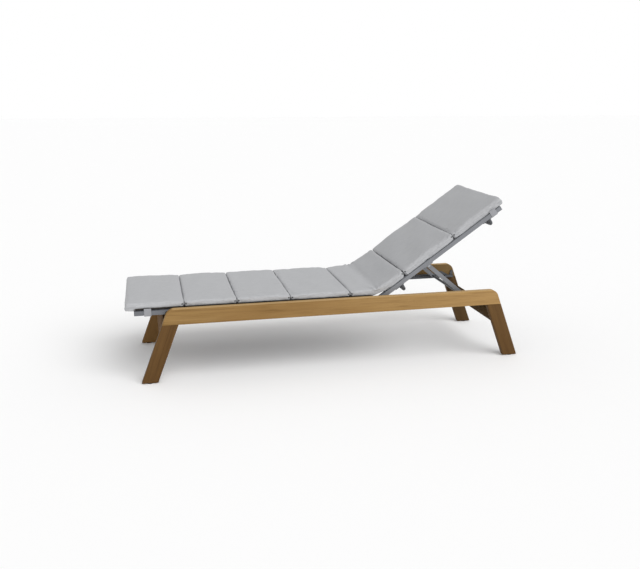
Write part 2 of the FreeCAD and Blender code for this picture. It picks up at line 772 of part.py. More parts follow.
def make_hinge():
    """Hinge plates on the seat tubes, their screws, and the riveted pins with their bushes."""
    screws = []
    rivets = []
    bushes = []
    level = hinge_height
    face = tube_inner - size.plate_thick
    for name, side in SIDES:
        y = across(side, face, tube_inner)
        blade = box(hinge_place - size.plate_length, y, level - tube_half,
                    size.plate_length, size.plate_thick, size.tube_height)
        eye = rod("y", hinge_place, y, level, tube_half, size.plate_thick)
        long_bore = size.plate_thick + size.overrun * 2
        holes = [rod("y", hinge_place, y - size.overrun, level,
                     size.rivet_radius + size.fit_gap, long_bore)]
        for x in plate_screw_places():
            holes.append(rod("y", x, y - size.overrun, bolt_height,
                             size.screw_radius + size.fit_gap, long_bore))
            tip = tube_inner + size.screw_bite
            shank = rod("y", x, across(side, face, tip), bolt_height,
                        size.screw_radius, tip - face)
            head = rod("y", x, across(side, face - size.screw_head, face), bolt_height,
                       size.screw_head_radius, size.screw_head)
            screws.append(fuse(shank, head))
        on_base(f"hinge_plate_{name}", cut(fuse(blade, eye), holes))
        shank = rod("y", hinge_place, across(side, face, tube_outer), level,
                    size.rivet_radius, tube_outer - face)
        heads = [
            rod("y", hinge_place, across(side, start, start + size.rivet_head), level,
                size.rivet_head_radius, size.rivet_head)
            for start in (face - size.rivet_head, tube_outer)
        ]
        rivets.append(fuse(shank, *heads))
        near = tube_inner + size.bush_gap
        far = tube_outer - size.bush_gap
        sleeve = rod("y", nothing, across(side, near, far), nothing, size.bush_radius, far - near)
        bore = rod("y", nothing, across(side, near, far) - size.overrun, nothing,
                   size.rivet_radius + size.running_gap, far - near + size.overrun * 2)
        bushes.append(cut(sleeve, [bore]))
    on_base("hinge_plate_screws", group(screws))
    on_base("hinge_rivets", group(rivets))
    on_backrest("hinge_bushes", group(bushes))


def make_racks():
    """Rack plates on the rails, toothed bars along their lower edges, and their screws.

    Each plate rises to a crest at its outer end, then falls into a parking notch before its stop.
    """
    tips = foot_level - size.foot_bar_radius - size.tip_gap
    face = rail_inner - size.rack_plate_thick
    run = rack_end - rack_start
    crest_start = rack_end - size.crest_inset - size.crest_width
    outline = (
        (rack_start, rack_low),
        (rack_end, rack_low),
        (rack_end, rack_low + size.stop_height),
        (rack_end - size.stop_width, rack_low + size.stop_height),
        (rack_end - size.valley_inset, rack_low + size.valley_rise),
        (rack_end - size.crest_inset, rack_low + size.crest_height),
        (crest_start, rack_low + size.crest_height),
        (crest_start - size.crest_run, rack_low + size.rack_height),
        (rack_start, rack_low + size.rack_height),
    )
    notch_side = size.notch_depth * math.sqrt(2) * 2
    screws = []
    for name, side in SIDES:
        y = across(side, face, rail_inner)
        plate, _ = outline_board(f"rack_{name}", outline, size.rack_plate_thick)
        put(plate, nothing, (face + rail_inner) * (side / 2), nothing)
        holes = []
        for x in rack_screw_places():
            holes.append(rod("y", x, y - size.overrun, rack_screw_height,
                             size.screw_radius + size.fit_gap,
                             size.rack_plate_thick + size.overrun * 2))
            tip = rail_inner + size.screw_bite
            shank = rod("y", x, across(side, face, tip), rack_screw_height,
                        size.screw_radius, tip - face)
            head = rod("y", x, across(side, face - size.screw_head, face), rack_screw_height,
                       size.screw_head_radius, size.screw_head)
            screws.append(fuse(shank, head))
        on_base(f"rack_plate_{name}", cut(plate, holes))
        bar_y = across(side, face - size.rack_ledge, face)
        bar = box(rack_start, bar_y, rack_low, run, size.rack_ledge, tips - rack_low)
        notches = []
        for angle in NOTCH_ANGLES:
            notch = box(prop_foot_place(angle), bar_y - size.overrun, tips - size.notch_depth,
                        notch_side, size.rack_ledge + size.overrun * 2, notch_side)
            notch.Placement.Rotation = FreeCAD.Rotation(FreeCAD.Vector(0, -1, 0), 45)
            notches.append(notch)
        on_base(f"rack_teeth_{name}", cut(bar, notches))
    on_base("rack_screws", group(screws))


def make_backrest_frame():
    """Backrest tubes from the hinge pins, with bars, flanges, caps, sling and straps."""
    caps = []
    welts = []
    straps = []
    underside = -tube_half - size.bracket_thick
    sling_run = size.back_length - size.sling_head_inset - size.back_sling_low
    for name, side in SIDES:
        y = across(side, back_inner - size.overrun, back_outer + size.overrun)
        bores = flange_bores(side, back_spreader_places(), back_inner, back_outer, nothing)
        bores.append(rod("y", nothing, y, nothing, size.bush_radius + size.fit_gap,
                         back_outer - back_inner + size.overrun * 2))
        for x in bracket_screw_places():
            bores.append(screw_up(x, (back_inner + size.bracket_screw_out) * side, underside,
                                  size.bracket_thick, size.fit_gap))
        tube = side_tube(side, nothing, back_tube_head, back_inner, back_outer, nothing, bores, True)
        on_backrest(f"back_tube_{name}", tube)
        caps.append(end_cap(side, back_inner, back_outer, nothing, size.back_length, back_tube_head, 1))
        welts.append(rod("x", size.back_sling_low, (back_inner + size.channel_inset) * side,
                         size.channel_rise, size.welt_radius, sling_run))
        straps.append(strap(side, size.back_length - size.strap_head_inset, back_inner, back_outer, nothing))
    bar_start = back_tube_head - size.end_bar_inset - size.end_bar_width
    on_backrest("back_top_bar", end_bar(bar_start, back_inner, nothing))
    for name, place in zip(("low", "high"), back_spreader_places()):
        on_backrest(f"back_spreader_{name}", spreader(place, back_inner, back_outer, nothing))
    make_flanges(on_backrest, "back", back_spreader_places(), back_inner, back_outer, nothing)
    sling_half = back_inner + size.sling_hold
    sling = box(size.back_sling_low, -sling_half, size.channel_rise - size.sling_thick / 2,
                sling_run, sling_half * 2, size.sling_thick)
    on_backrest("back_sling", group([sling]))
    on_backrest("back_welts", group(welts))
    on_backrest("back_end_caps", group(caps))
    on_backrest("head_straps", group(straps))


def bracket_screw_places():
    return [size.prop_reach + size.bracket_screw_pitch * (half / 2) for half in (-1, 1)]


def make_prop():
    """Prop brackets under the backrest tubes, riveted prop legs and the foot bar in its caps."""
    brackets = []
    screws = []
    rivets = []
    foot_caps = []
    underside = -tube_half - size.bracket_thick
    tongue_face = back_inner + size.bracket_thick
    leg_outer = back_inner - size.prop_gap
    leg_inner = leg_outer - size.prop_thick
    for name, side in SIDES:
        plate = box(size.prop_reach - size.bracket_length / 2, across(side, back_inner, back_outer),
                    underside, size.bracket_length, back_outer - back_inner, size.bracket_thick)
        y = across(side, back_inner, tongue_face)
        tongue = box(size.prop_reach - size.bracket_round, y, -size.prop_drop,
                     size.bracket_round * 2, size.bracket_thick, size.prop_drop - tube_half)
        eye = rod("y", size.prop_reach, y, -size.prop_drop, size.bracket_round, size.bracket_thick)
        holes = [rod("y", size.prop_reach, y - size.overrun, -size.prop_drop,
                     size.rivet_radius + size.fit_gap, size.bracket_thick + size.overrun * 2)]
        for x in bracket_screw_places():
            spot = (x, (back_inner + size.bracket_screw_out) * side, underside, size.bracket_thick)
            holes.append(screw_up(*spot, size.fit_gap))
            screws.append(screw_up(*spot))
        brackets.append(cut(fuse(plate, tongue, eye), holes))
        pin_start = leg_inner - size.prop_gap
        shank = rod("y", size.prop_reach, across(side, pin_start, tongue_face), -size.prop_drop,
                    size.rivet_radius, tongue_face - pin_start)
        heads = [
            rod("y", size.prop_reach, across(side, start, start + size.rivet_head),
                -size.prop_drop, size.rivet_head_radius, size.rivet_head)
            for start in (pin_start - size.rivet_head, tongue_face)
        ]
        rivets.append(fuse(shank, *heads))
        y = across(side, leg_inner, leg_outer)
        half_width = size.prop_width / 2
        flat = box(nothing, y, -half_width, prop_length, size.prop_thick, size.prop_width)
        rounds = [rod("y", x, y, nothing, half_width, size.prop_thick)
                  for x in (nothing, prop_length)]
        through = size.prop_thick + size.overrun * 2
        pin_bore = rod("y", nothing, y - size.overrun, nothing,
                       size.rivet_radius + size.running_gap, through)
        foot_bore = rod("y", prop_length, y - size.overrun, nothing,
                        size.foot_bar_radius + size.fit_gap, through)
        on_prop(f"prop_leg_{name}", cut(fuse(flat, *rounds), [pin_bore, foot_bore]))
    on_backrest("prop_brackets", group(brackets))
    on_backrest("prop_bracket_screws", group(screws))
    on_backrest("prop_rivets", group(rivets))
    foot_end = rail_inner - size.rack_plate_thick - size.screw_head - size.foot_end_gap
    bar_half = foot_end - size.cap_thick
    bar = rod("y", prop_length, -bar_half, nothing, size.foot_bar_radius, bar_half * 2)
    inside_radius = size.foot_bar_radius - size.foot_bar_wall
    inside = rod("y", prop_length, -bar_half - size.overrun, nothing,
                 inside_radius, (bar_half + size.overrun) * 2)
    on_prop("prop_foot_bar", cut(bar, [inside]))
    for _, side in SIDES:
        disc = rod("y", prop_length, across(side, bar_half, foot_end), nothing,
                   size.foot_bar_radius, size.cap_thick)
        plug = rod("y", prop_length, across(side, bar_half - size.cap_plug, bar_half), nothing,
                   inside_radius - size.fit_gap, size.cap_plug)
        foot_caps.append(fuse(disc, plug))
    on_prop("prop_foot_caps", group(foot_caps))


def arc(first, middle, last):
    return Part.Arc(first, middle, last).toShape()


def line(first, last):
    return Part.LineSegment(first, last).toShape()


def panel_shape(start, stop, bottom):
    """A cushion panel along X: crowned, drawn in at its sides, and tucked in at its seams."""
    thick = float(size.cushion_thick)
    wires = []
    for y_share, lift_share, height_share, draw_share, crown_share in CUSHION_SECTION_SHARES:
        y = y_share * float(cushion_half)
        low = float(bottom) + lift_share * thick
        high = float(bottom) + height_share * thick
        crest = high + crown_share * float(size.cushion_crown)
        first = float(start) + draw_share * thick
        last = float(stop) - draw_share * thick
        tuck = TUCK_SHARE * thick
        a = FreeCAD.Vector(first + tuck, y, low)
        b = FreeCAD.Vector(last - tuck, y, low)
        c = FreeCAD.Vector(last - tuck, y, high)
        d = FreeCAD.Vector(first + tuck, y, high)
        crown = FreeCAD.Vector((first + last) / 2, y, crest)
        edges = [
            line(a, b),
            arc(b, FreeCAD.Vector(last, y, (low + high) / 2), c),
            arc(c, crown, d),
            arc(d, FreeCAD.Vector(first, y, (low + high) / 2), a),
        ]
        wires.append(Part.Wire(edges))
    return Part.makeLoft(wires, True, True)


def bent_panel_shape(start, stop, bottom):
    """The panel over the hinge: level on the seat, an easy bend, then along the backrest."""
    thick = float(size.cushion_thick)
    reach = float(size.bend_reach)
    half_turn = tilt / 2
    bend_radius = reach / math.tan(half_turn)
    corner_x = float(hinge_place) - float(bottom) * math.tan(half_turn)
    centre = (corner_x - reach, float(hinge_height + bottom) + bend_radius)

    def bend_point(angle, height, y):
        """A point of the bend at a height over the underside."""
        radius = bend_radius - height
        return FreeCAD.Vector(centre[0] + radius * math.sin(angle), y,
                              centre[1] - radius * math.cos(angle))

    wires = []
    for y_share, lift_share, height_share, draw_share, _ in CUSHION_SECTION_SHARES:
        y = y_share * float(cushion_half)
        low = lift_share * thick
        high = height_share * thick
        middle = (low + high) / 2
        first = float(start) + draw_share * thick
        last = float(stop) - draw_share * thick
        tuck = TUCK_SHARE * thick

        def seat_point(x, height):
            return FreeCAD.Vector(x, y, float(hinge_height + bottom) + height)

        def back_point(along, height):
            x, z = backrest_point(along, bottom + height, size.rest_angle)
            return vector(x, y, z)

        low_bend = [bend_point(tilt * share, low, y) for share in (0, 0.5, 1)]
        high_bend = [bend_point(tilt * share, high, y) for share in (1, 0.5, 0)]
        edges = [
            line(seat_point(first + tuck, low), low_bend[0]),
            arc(*low_bend),
            line(low_bend[2], back_point(last - tuck, low)),
            arc(back_point(last - tuck, low), back_point(last, middle),
                back_point(last - tuck, high)),
            line(back_point(last - tuck, high), high_bend[0]),
            arc(*high_bend),
            line(high_bend[2], seat_point(first + tuck, high)),
            arc(seat_point(first + tuck, high), seat_point(first, middle),
                seat_point(first + tuck, low)),
        ]
        wires.append(Part.Wire(edges))
    return Part.makeLoft(wires, True, True)


def make_cushion():
    """Seven sewn panels: four on the seat, one that bends over the hinge, two on the backrest."""
    rise = tube_half + size.cushion_gap
    gap = float(size.seam_gap) / 2
    start = -float(seat_reach + size.cushion_foot)
    seat_run = float(hinge_place - size.hinge_panel_start) - start
    number = 0
    for share in SEAT_PANEL_SHARES:
        number += 1
        item = doc.addObject("Part::Feature", "Panel")
        stop = start + seat_run * share
        item.Shape = panel_shape(start + gap, stop - gap, hinge_height + rise)
        on_base(f"cushion_panel_{number}", item)
        start = stop
    number += 1
    item = doc.addObject("Part::Feature", "Panel")
    item.Shape = bent_panel_shape(start + gap, float(size.hinge_panel_end) - gap, rise)
    on_base(f"cushion_panel_{number}", item)
    start = float(size.hinge_panel_end)
    back_panel = (float(size.back_length + size.cushion_head) - start) / 2
    for _ in range(2):
        number += 1
        item = doc.addObject("Part::Feature", "Panel")
        stop = start + back_panel
        item.Shape = panel_shape(start + gap, stop - gap, rise)
        on_backrest(f"cushion_panel_{number}", item)
        start = stop


make_rails()
make_legs()
make_cross_boards()
make_dowels_and_glides()
make_seat_frame()
make_hinge()
make_racks()
make_backrest_frame()
make_prop()
make_cushion()
doc.recompute()

for item in doc.Objects:
    if "Invalid" in item.State or "Error" in item.State:
        raise RuntimeError(f"{item.Label} failed: {item.State}")
for label, item in nodes.items():
    if item.Shape.isNull() or not item.Shape.isValid() or not item.Shape.Solids:
        raise RuntimeError(f"{label} has no valid solid")

os.makedirs("parts", exist_ok=True)
for label, item in nodes.items():
    item.Shape.exportStep(f"parts/{label}.step")
print(f"{len(nodes)} sub-parts written")
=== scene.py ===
import math

import bmesh
import bpy
import numpy as np
from mathutils import Matrix, Vector


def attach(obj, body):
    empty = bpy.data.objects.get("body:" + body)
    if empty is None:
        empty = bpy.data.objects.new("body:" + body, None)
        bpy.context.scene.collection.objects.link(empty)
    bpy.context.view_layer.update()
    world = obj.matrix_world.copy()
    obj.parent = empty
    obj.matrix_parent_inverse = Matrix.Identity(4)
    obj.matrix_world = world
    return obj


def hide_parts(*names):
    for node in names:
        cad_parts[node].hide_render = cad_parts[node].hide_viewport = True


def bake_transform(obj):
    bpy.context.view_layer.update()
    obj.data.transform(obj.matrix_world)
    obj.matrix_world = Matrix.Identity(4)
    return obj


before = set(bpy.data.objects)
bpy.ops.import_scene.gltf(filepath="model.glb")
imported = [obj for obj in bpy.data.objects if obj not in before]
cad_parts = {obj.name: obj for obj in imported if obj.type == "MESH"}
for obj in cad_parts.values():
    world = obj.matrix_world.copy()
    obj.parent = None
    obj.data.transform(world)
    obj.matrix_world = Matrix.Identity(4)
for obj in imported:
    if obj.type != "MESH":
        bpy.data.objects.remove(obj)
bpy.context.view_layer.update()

# Side rails: two solid teak boards, 28 mm thick, that carry the whole frame. Their upper end
# corners are rounded to a 42 mm radius, every arris is eased by hand, and the faces are oiled.
SHIFT = 0.025
RAIL_OUTER, RAIL_INNER = 0.3025, 0.2745
RAIL_LOW, RAIL_TOP = 0.273, 0.348
RAIL_MIDDLE = (RAIL_LOW + RAIL_TOP) / 2
RAIL_END = 0.826
FOOT_REACH = 0.930
LEG_SLOPE = (FOOT_REACH - RAIL_END) / RAIL_LOW
RAIL_CORNER = 0.02895
RAIL_ARRIS = 0.0034
JOINT_ARRIS = 0.0008
JOINT_BAND = 0.001
NEAR = 0.0005
RAIL_TONES = ("9B7B4B", "816336", "846134", "5F4321")
# Painted light: the rails pale towards the head end, where the light falls brighter.
RAIL_PAINTED_LIGHT = (-0.4, 0.8, "B08D5A", 0.7)
# Painted shade: the rails' inner faces, turned under the seat, are darkened.
RAIL_INSIDE_SHADE = ("463820", 0.64)
# Painted highlight: the rails' top arris is paler, where light catches it.
TOP_ARRIS_HIGHLIGHT = "C4A677"


def linear(code):
    """A colour written as six hex digits, as the shader's red, green, blue and alpha."""
    parts = [int(code[i:i + 2], 16) / 255 for i in (0, 2, 4)]
    return [p / 12.92 if p <= 0.04045 else ((p + 0.055) / 1.055) ** 2.4 for p in parts] + [1.0]


class Value:
    """A socket of a finish, with the arithmetic that a finish needs."""

    def __init__(self, finish, socket):
        self.finish = finish
        self.socket = socket

    def math(self, operation, *others):
        return self.finish.node("ShaderNodeMath", {"operation": operation},
                                dict(enumerate((self,) + others)))

    def __add__(self, other):
        return self.math("ADD", other)

    def __sub__(self, other):
        return self.math("SUBTRACT", other)

    def __mul__(self, other):
        return self.math("MULTIPLY", other)

    def __rsub__(self, other):
        return (self * -1.0) + other

    def ramp(self, low, high):
        """From 0 at low to 1 at high, smoothly."""
        settings = {"interpolation_type": "SMOOTHSTEP"}
        return self.finish.node("ShaderNodeMapRange", settings,
                                {"Value": self, "From Min": low, "From Max": high})


class Finish:
    """A material with one shader, whose other nodes come from node()."""

    def __init__(self, name):
        self.material = bpy.data.materials.new(name)
        self.material.use_nodes = True
        self.tree = self.material.node_tree
        self.shader = self.tree.nodes["Principled BSDF"]

    def node(self, kind, settings=None, sockets=None, output=0):
        """A node with its settings set first, then its sockets' values or links."""
        node = self.tree.nodes.new(kind)
        for key, value in (settings or {}).items():
            setattr(node, key, value)
        for key, value in (sockets or {}).items():
            self.feed(node.inputs[key], value)
        return Value(self, node.outputs[output])

    def feed(self, socket, value):
        if isinstance(value, Value):
            self.tree.links.new(value.socket, socket)
        else:
            socket.default_value = value

    def set(self, **sockets):
        """Values or links of the shader's own sockets, with _ for a space."""
        for key, value in sockets.items():
            self.feed(self.shader.inputs[key.replace("_", " ")], value)

    def place(self, scale=(1, 1, 1), turn=(0, 0, 0), shift=(0, 0, 0)):
        """Object coordinates, moved, turned and scaled."""
        where = self.node("ShaderNodeTexCoord", output=3)
        return self.node("ShaderNodeMapping", {}, {
            "Vector": where, "Scale": scale, "Rotation": turn, "Location": shift})

    def noise(self, where, scale=1.0, detail=3.0, distortion=0.0):
        return self.node("ShaderNodeTexNoise", {}, {
            "Vector": where, "Scale": scale, "Detail": detail, "Distortion": distortion})

    def mix(self, share, first, second):
        """A colour between two colours."""
        node = self.tree.nodes.new("ShaderNodeMix")
        node.data_type = "RGBA"
        for index, value in ((0, share), (6, first), (7, second)):
            self.feed(node.inputs[index], value)
        return Value(self, node.outputs[2])

    def bump(self, height, strength, distance, normal=None):
        sockets = {"Height": height, "Strength": strength, "Distance": distance}
        if normal is not None:
            sockets["Normal"] = normal
        self.set(Normal=self.node("ShaderNodeBump", {}, sockets))


def teak_finish(name, tones, turn, shift, bleach_and_light=(-0.9, 1.1, None, 0.45), inside=None, shine=0.18):
    """Oiled teak: slow bands, veins, streaks and short open pores, all drawn out along the grain.

    The tones are of pale, middle, warm and dark wood. The wood pales along the grain between
    two places, to a tone or else to the pale one, by a share: these four come as one argument.
    On the rails this paling is painted light, brighter towards the head end. The tone and share
    of the faces turned under the seat are inside: painted shade on the rails and the head legs,
    painted light on the foot legs. A board with them has a pale top arris, a painted highlight.
    """
    finish = Finish(name)
    grain = finish.place(turn=turn, shift=shift)
    pale, middle, warm, dark = (linear(tone) for tone in tones)
    dark_end, pale_end, pale_end_tone, pale_end_share = bleach_and_light

    def drawn(length, width):
        return finish.node("ShaderNodeMapping", {}, {
            "Vector": grain, "Scale": (length, width, width)})

    bands = finish.noise(drawn(2.2, 22.0), detail=4.0, distortion=1.2).ramp(0.30, 0.70)
    veins = finish.noise(drawn(4.0, 95.0), detail=3.0, distortion=0.8).ramp(0.50, 0.78)
    streaks = finish.noise(drawn(5.0, 230.0), detail=2.0, distortion=0.4).ramp(0.40, 0.66)
    pores = finish.noise(drawn(60.0, 1500.0), detail=1.0).ramp(0.60, 0.72)
    drift = finish.noise(drawn(3.0, 7.0), detail=2.0).ramp(0.35, 0.65)
    # Paling along the grain; on the rails it is painted light towards the head end.
    bleach_and_light_ramp = finish.node("ShaderNodeSeparateXYZ", {}, {"Vector": grain}).ramp(dark_end, pale_end)
    layers = [(drift, 0.45, warm),
              (bleach_and_light_ramp, pale_end_share, linear(pale_end_tone) if pale_end_tone else pale),
              (streaks, 0.20, dark), (veins, 0.42, dark), (pores, 0.22, dark)]
    if inside:
        spot = finish.node("ShaderNodeSeparateXYZ", {}, {"Vector": finish.place()}).socket.node
        outward = Value(finish, spot.outputs[1]).math("ABSOLUTE")
        height = Value(finish, spot.outputs[2])
        # Faces turned under the seat: painted shade on the rails and head legs, painted light on the foot
        # legs.
        turned_in = 1.0 - outward.ramp(RAIL_INNER + 0.0004, RAIL_INNER + 0.0030)
        # The rails' top arris: a painted highlight.
        arris_highlight = height.ramp(RAIL_TOP - 0.0030, RAIL_TOP - 0.0006)
        layers += [(turned_in, inside[1], linear(inside[0])), (arris_highlight, 0.45, linear(TOP_ARRIS_HIGHLIGHT))]
    colour = finish.mix(bands * 0.75, pale, middle)
    for layer, share, tone in layers:
        colour = finish.mix(layer * share, colour, tone)
    finish.set(Base_Color=colour, Roughness=bands * 0.08 + pores * 0.15 + 0.58,
               Specular_IOR_Level=shine)
    finish.bump(bands * 0.3 - pores * 1.0 - veins * 0.3, strength=0.25, distance=0.0004)
    return finish.material


def block(name, middle, sizes):
    """A board's blank, selected in object mode, with its place in its mesh."""
    bpy.ops.object.select_all(action="DESELECT")
    bpy.ops.mesh.primitive_cube_add(size=1, location=middle, scale=sizes)
    bpy.ops.object.transform_apply(location=True, rotation=True, scale=True)
    piece = bpy.context.object
    piece.name = name
    piece.data.name = name
    return piece


def choose(kind, test):
    """Select, in edit mode, the corners or edges that pass a test of their ends' places."""
    mesh = bmesh.from_edit_mesh(bpy.context.object.data)
    bpy.ops.mesh.select_mode(type=kind)
    bpy.ops.mesh.select_all(action="DESELECT")
    for item in (mesh.verts if kind == "VERT" else mesh.edges):
        ends = [item.co] if kind == "VERT" else [v.co for v in item.verts]
        if test(*ends):
            item.select_set(True)
    mesh.select_flush_mode()
    bmesh.update_edit_mesh(bpy.context.object.data)


def ease(offset, segments):
    """Round the selected edges, in edit mode."""
    bpy.ops.mesh.bevel(offset=offset, segments=segments, profile=0.5, affect="EDGES")


def finish_board(piece, material, body, slot, *nodes):
    """Smooth shading, the wood's finish, and the CAD board that the piece stands for."""
    bpy.ops.object.mode_set(mode="OBJECT")
    bpy.ops.object.shade_smooth_by_angle(angle=math.radians(35))
    piece.data.materials.append(material)
    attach(piece, body)
    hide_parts(*nodes)


for side_name, side in (("left", -1), ("right", 1)):
    rail = block(f"rail_{side_name}", (SHIFT, side * (RAIL_OUTER + RAIL_INNER) / 2, RAIL_MIDDLE),
                 (RAIL_END * 2, RAIL_OUTER - RAIL_INNER, RAIL_TOP - RAIL_LOW))
    bpy.ops.object.mode_set(mode="EDIT")
    for end in (-1, 1):
        choose("VERT", lambda a: a.z > RAIL_MIDDLE and (a.x - SHIFT) * end > 0)
        lean_in = (RAIL_TOP - RAIL_LOW) * LEG_SLOPE
        bpy.ops.transform.translate(value=(-end * lean_in, 0, 0))
    choose("EDGE", lambda a, b: min(a.z, b.z) > RAIL_MIDDLE and abs(a.x - b.x) < NEAR)
    ease(RAIL_CORNER, 14)
    choose("EDGE", lambda a, b: abs(a.y - b.y) < NEAR)
    ease(RAIL_ARRIS, 4)
    choose("EDGE", lambda a, b: max(a.z, b.z) < RAIL_LOW + JOINT_BAND and abs(a.x - b.x) < NEAR)
    ease(JOINT_ARRIS, 2)
    wood = teak_finish(f"rail_teak_{side_name}", RAIL_TONES, (0, 0, 0), (0, 0.3 * side, 0.2),
                       RAIL_PAINTED_LIGHT, RAIL_INSIDE_SHADE)
    finish_board(rail, wood, "base", "teak", f"side_rail_{side_name}")

# Legs: four splayed teak boards, doweled to the rails' undersides and flush with their faces.
# Their teak is painted darker than the rails' as shade, with the grain running down the leg.
LEG_WIDTH = 0.074
LEG_FOOT = 0.003
LEG_MIDDLE = (LEG_FOOT + RAIL_LOW) / 2
LEG_ARRIS = 0.0024
LEAN = math.atan(LEG_SLOPE)
# The legs' tones are the teak painted darker than the rails', as shade.
LEG_SHADED_TONES = ("664A26", "503717", "573A19", "34220E")
# Painted light and shade on the legs' inner faces: the foot legs' are lighter, the head legs' darker.
LEG_INSIDE_LIGHT_AND_SHADE = {"foot": ("8F6B3C", 0.60), "head": ("33250F", 0.50)}

for end_name, end in (("foot", -1), ("head", 1)):
    for side_name, side in (("left", -1), ("right", 1)):
        leg = block(f"leg_{end_name}_{side_name}_teak",
                    (SHIFT + end * (RAIL_END - LEG_WIDTH / 2),
                     side * (RAIL_OUTER + RAIL_INNER) / 2, LEG_MIDDLE),
                    (LEG_WIDTH, RAIL_OUTER - RAIL_INNER, RAIL_LOW - LEG_FOOT))
        bpy.ops.object.mode_set(mode="EDIT")
        choose("VERT", lambda a: a.z < LEG_MIDDLE)
        bpy.ops.transform.translate(value=(end * (RAIL_LOW - LEG_FOOT) * LEG_SLOPE, 0, 0))
        choose("EDGE", lambda a, b: max(a.z, b.z) < LEG_MIDDLE or abs(a.z - b.z) > LEG_MIDDLE)
        ease(LEG_ARRIS, 3)
        choose("EDGE", lambda a, b: min(a.z, b.z) > RAIL_LOW - NEAR)
        ease(JOINT_ARRIS, 2)
        wood = teak_finish(f"leg_teak_{end_name}_{side_name}", LEG_SHADED_TONES,
                           (0, math.radians(90) + end * LEAN, 0), (0.7 * end, 0.5 * side, 0.1),
                           inside=LEG_INSIDE_LIGHT_AND_SHADE[end_name])
        finish_board(leg, wood, "base", "teak_legs", f"leg_{end_name}_{side_name}")

# Cross boards: a teak board between the legs at each end, doweled into them and leaning as
# they do. It keeps the base square.
BOARD_SIZES = (0.026, 0.549, 0.070)
BOARD_LOW = 0.177
BOARD_INNER = FOOT_REACH - LEG_WIDTH - BOARD_LOW * LEG_SLOPE
BOARD_INSETS = {"foot": 0.030, "head": 0.005}
BOARD_ARRIS = 0.0028
# The head board's tones are painted much darker than the foot board's, as shade under the backrest.
BOARD_TONES_WITH_HEAD_SHADE = {"foot": ("75562F", "61451E", "654120", "402D18"),
               "head": ("4A3514", "3B290C", "402A0F", "281C0A")}

for end_name, end in (("foot", -1), ("head", 1)):
    board = block(f"cross_board_{end_name}_teak",
                  (end * BOARD_SIZES[0] / 2, 0, BOARD_SIZES[2] / 2), BOARD_SIZES)
    board.rotation_euler = (0, -LEAN * end, 0)
    board.location = (SHIFT + end * (BOARD_INNER + BOARD_INSETS[end_name]), 0, BOARD_LOW)
    bpy.ops.object.transform_apply(location=True, rotation=True, scale=True)
    bpy.ops.object.mode_set(mode="EDIT")
    choose("EDGE", lambda a, b: abs(a.y - b.y) > BOARD_SIZES[1] / 2)
    ease(BOARD_ARRIS, 3)
    wood = teak_finish(f"board_teak_{end_name}", BOARD_TONES_WITH_HEAD_SHADE[end_name], (0, 0, math.radians(90)),
                       (0.2 * end, 0.9, 0.4), shine=0.03)
    finish_board(board, wood, "base", "teak_legs", f"cross_board_{end_name}")

# Dowels and glides: beech pegs hidden in the joints, and black moulded glides that keep the
# end grain of the legs off the ground. The frame's other black mouldings are dressed alike.
BEECH_TONES = ("D8B98A", "C7A473", "C9A06C", "A98452")


def dress(material, *names):
    """Give carried-over pieces their finish."""
    for name in names:
        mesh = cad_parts[name].data
        mesh.materials.clear()
        mesh.materials.append(material)


dress(teak_finish("beech", BEECH_TONES, (0, math.radians(90), 0), (0, 0, 0)), "dowels")

moulded = Finish("black_moulding")
grainy = moulded.noise(moulded.place(), scale=1500.0, detail=2.0)
cloudy = moulded.noise(moulded.place(), scale=30.0, detail=2.0)
moulded.set(Base_Color=moulded.mix(cloudy, linear("171717"), linear("242424")),
            Roughness=cloudy * 0.15 + 0.45)
moulded.bump(grainy, strength=0.25, distance=0.0002)
dress(moulded.material, "foot_glides", "rail_spacers", "hinge_bushes", "prop_foot_caps",
      "seat_welts", "back_welts")

# Seat frame: two aluminium tubes with a sling channel, a straight end bar and three bent bars
# in flanges, all powder coated. Bolts with plastic spacers hold the tubes to the rails.
def coat_finish(name, pale, dark, roughness):
    """Powder coat: a fine orange peel over a slightly uneven colour, with eased edges."""
    finish = Finish(name)
    cloud = finish.noise(finish.place(), scale=14.0)
    peel = finish.noise(finish.place(), scale=700.0, detail=2.0)
    finish.set(Base_Color=finish.mix(cloud, linear(pale), linear(dark)),
               Roughness=cloud * 0.10 + roughness)
    eased = finish.node("ShaderNodeBevel", {"samples": 4}, {"Radius": 0.0014})
    finish.bump(peel, strength=0.12, distance=0.0003, normal=eased)
    return finish.material


# The seat tubes, end bar and caps take the grey coat painted darker, as shade under the cushion.
shaded_seat_coat = coat_finish("seat_powder_coat_shaded", "6D6F74", "616368", roughness=0.42)
frame_coat = coat_finish("grey_powder_coat", "808287", "717377", roughness=0.42)
dark_coat = coat_finish("dark_powder_coat", "505256", "424448", roughness=0.40)
dress(shaded_seat_coat, "seat_tube_left", "seat_tube_right", "seat_end_bar", "seat_end_caps")
dress(dark_coat, "seat_spreader_foot", "seat_spreader_middle", "seat_spreader_hinge", "seat_flanges")

stainless = Finish("stainless_steel")
lines = stainless.noise(stainless.place(scale=(1, 1, 14)), scale=260.0, detail=2.0)
stainless.set(Base_Color=stainless.mix(lines, linear("B9BABC"), linear("9A9B9E")),
              Roughness=lines * 0.18 + 0.26, Metallic=1.0)
dress(stainless.material, "seat_flange_screws", "seat_frame_bolts", "hinge_plate_screws",
      "hinge_rivets", "rack_screws", "back_flange_screws", "prop_bracket_screws", "prop_rivets")

# Slings: coated polyester mesh, stretched between the tubes with a welt rod in each hem. A
# sling dips a little between the tubes under the cushion.
TILT = math.radians(35)
HINGE = Vector((0.231, 0, 0.326))
SLING_THICK = 0.0012
SLING_DIP = 0.006
SLING_DIP_SHARE = 1.06
SLING_CELLS = (48, 32)
SLINGS = (("seat", "base", -0.825, 1.0, 0.243, 0.330),
          ("back", "backrest", 0.040, 0.63, 0.2435, 0.004))


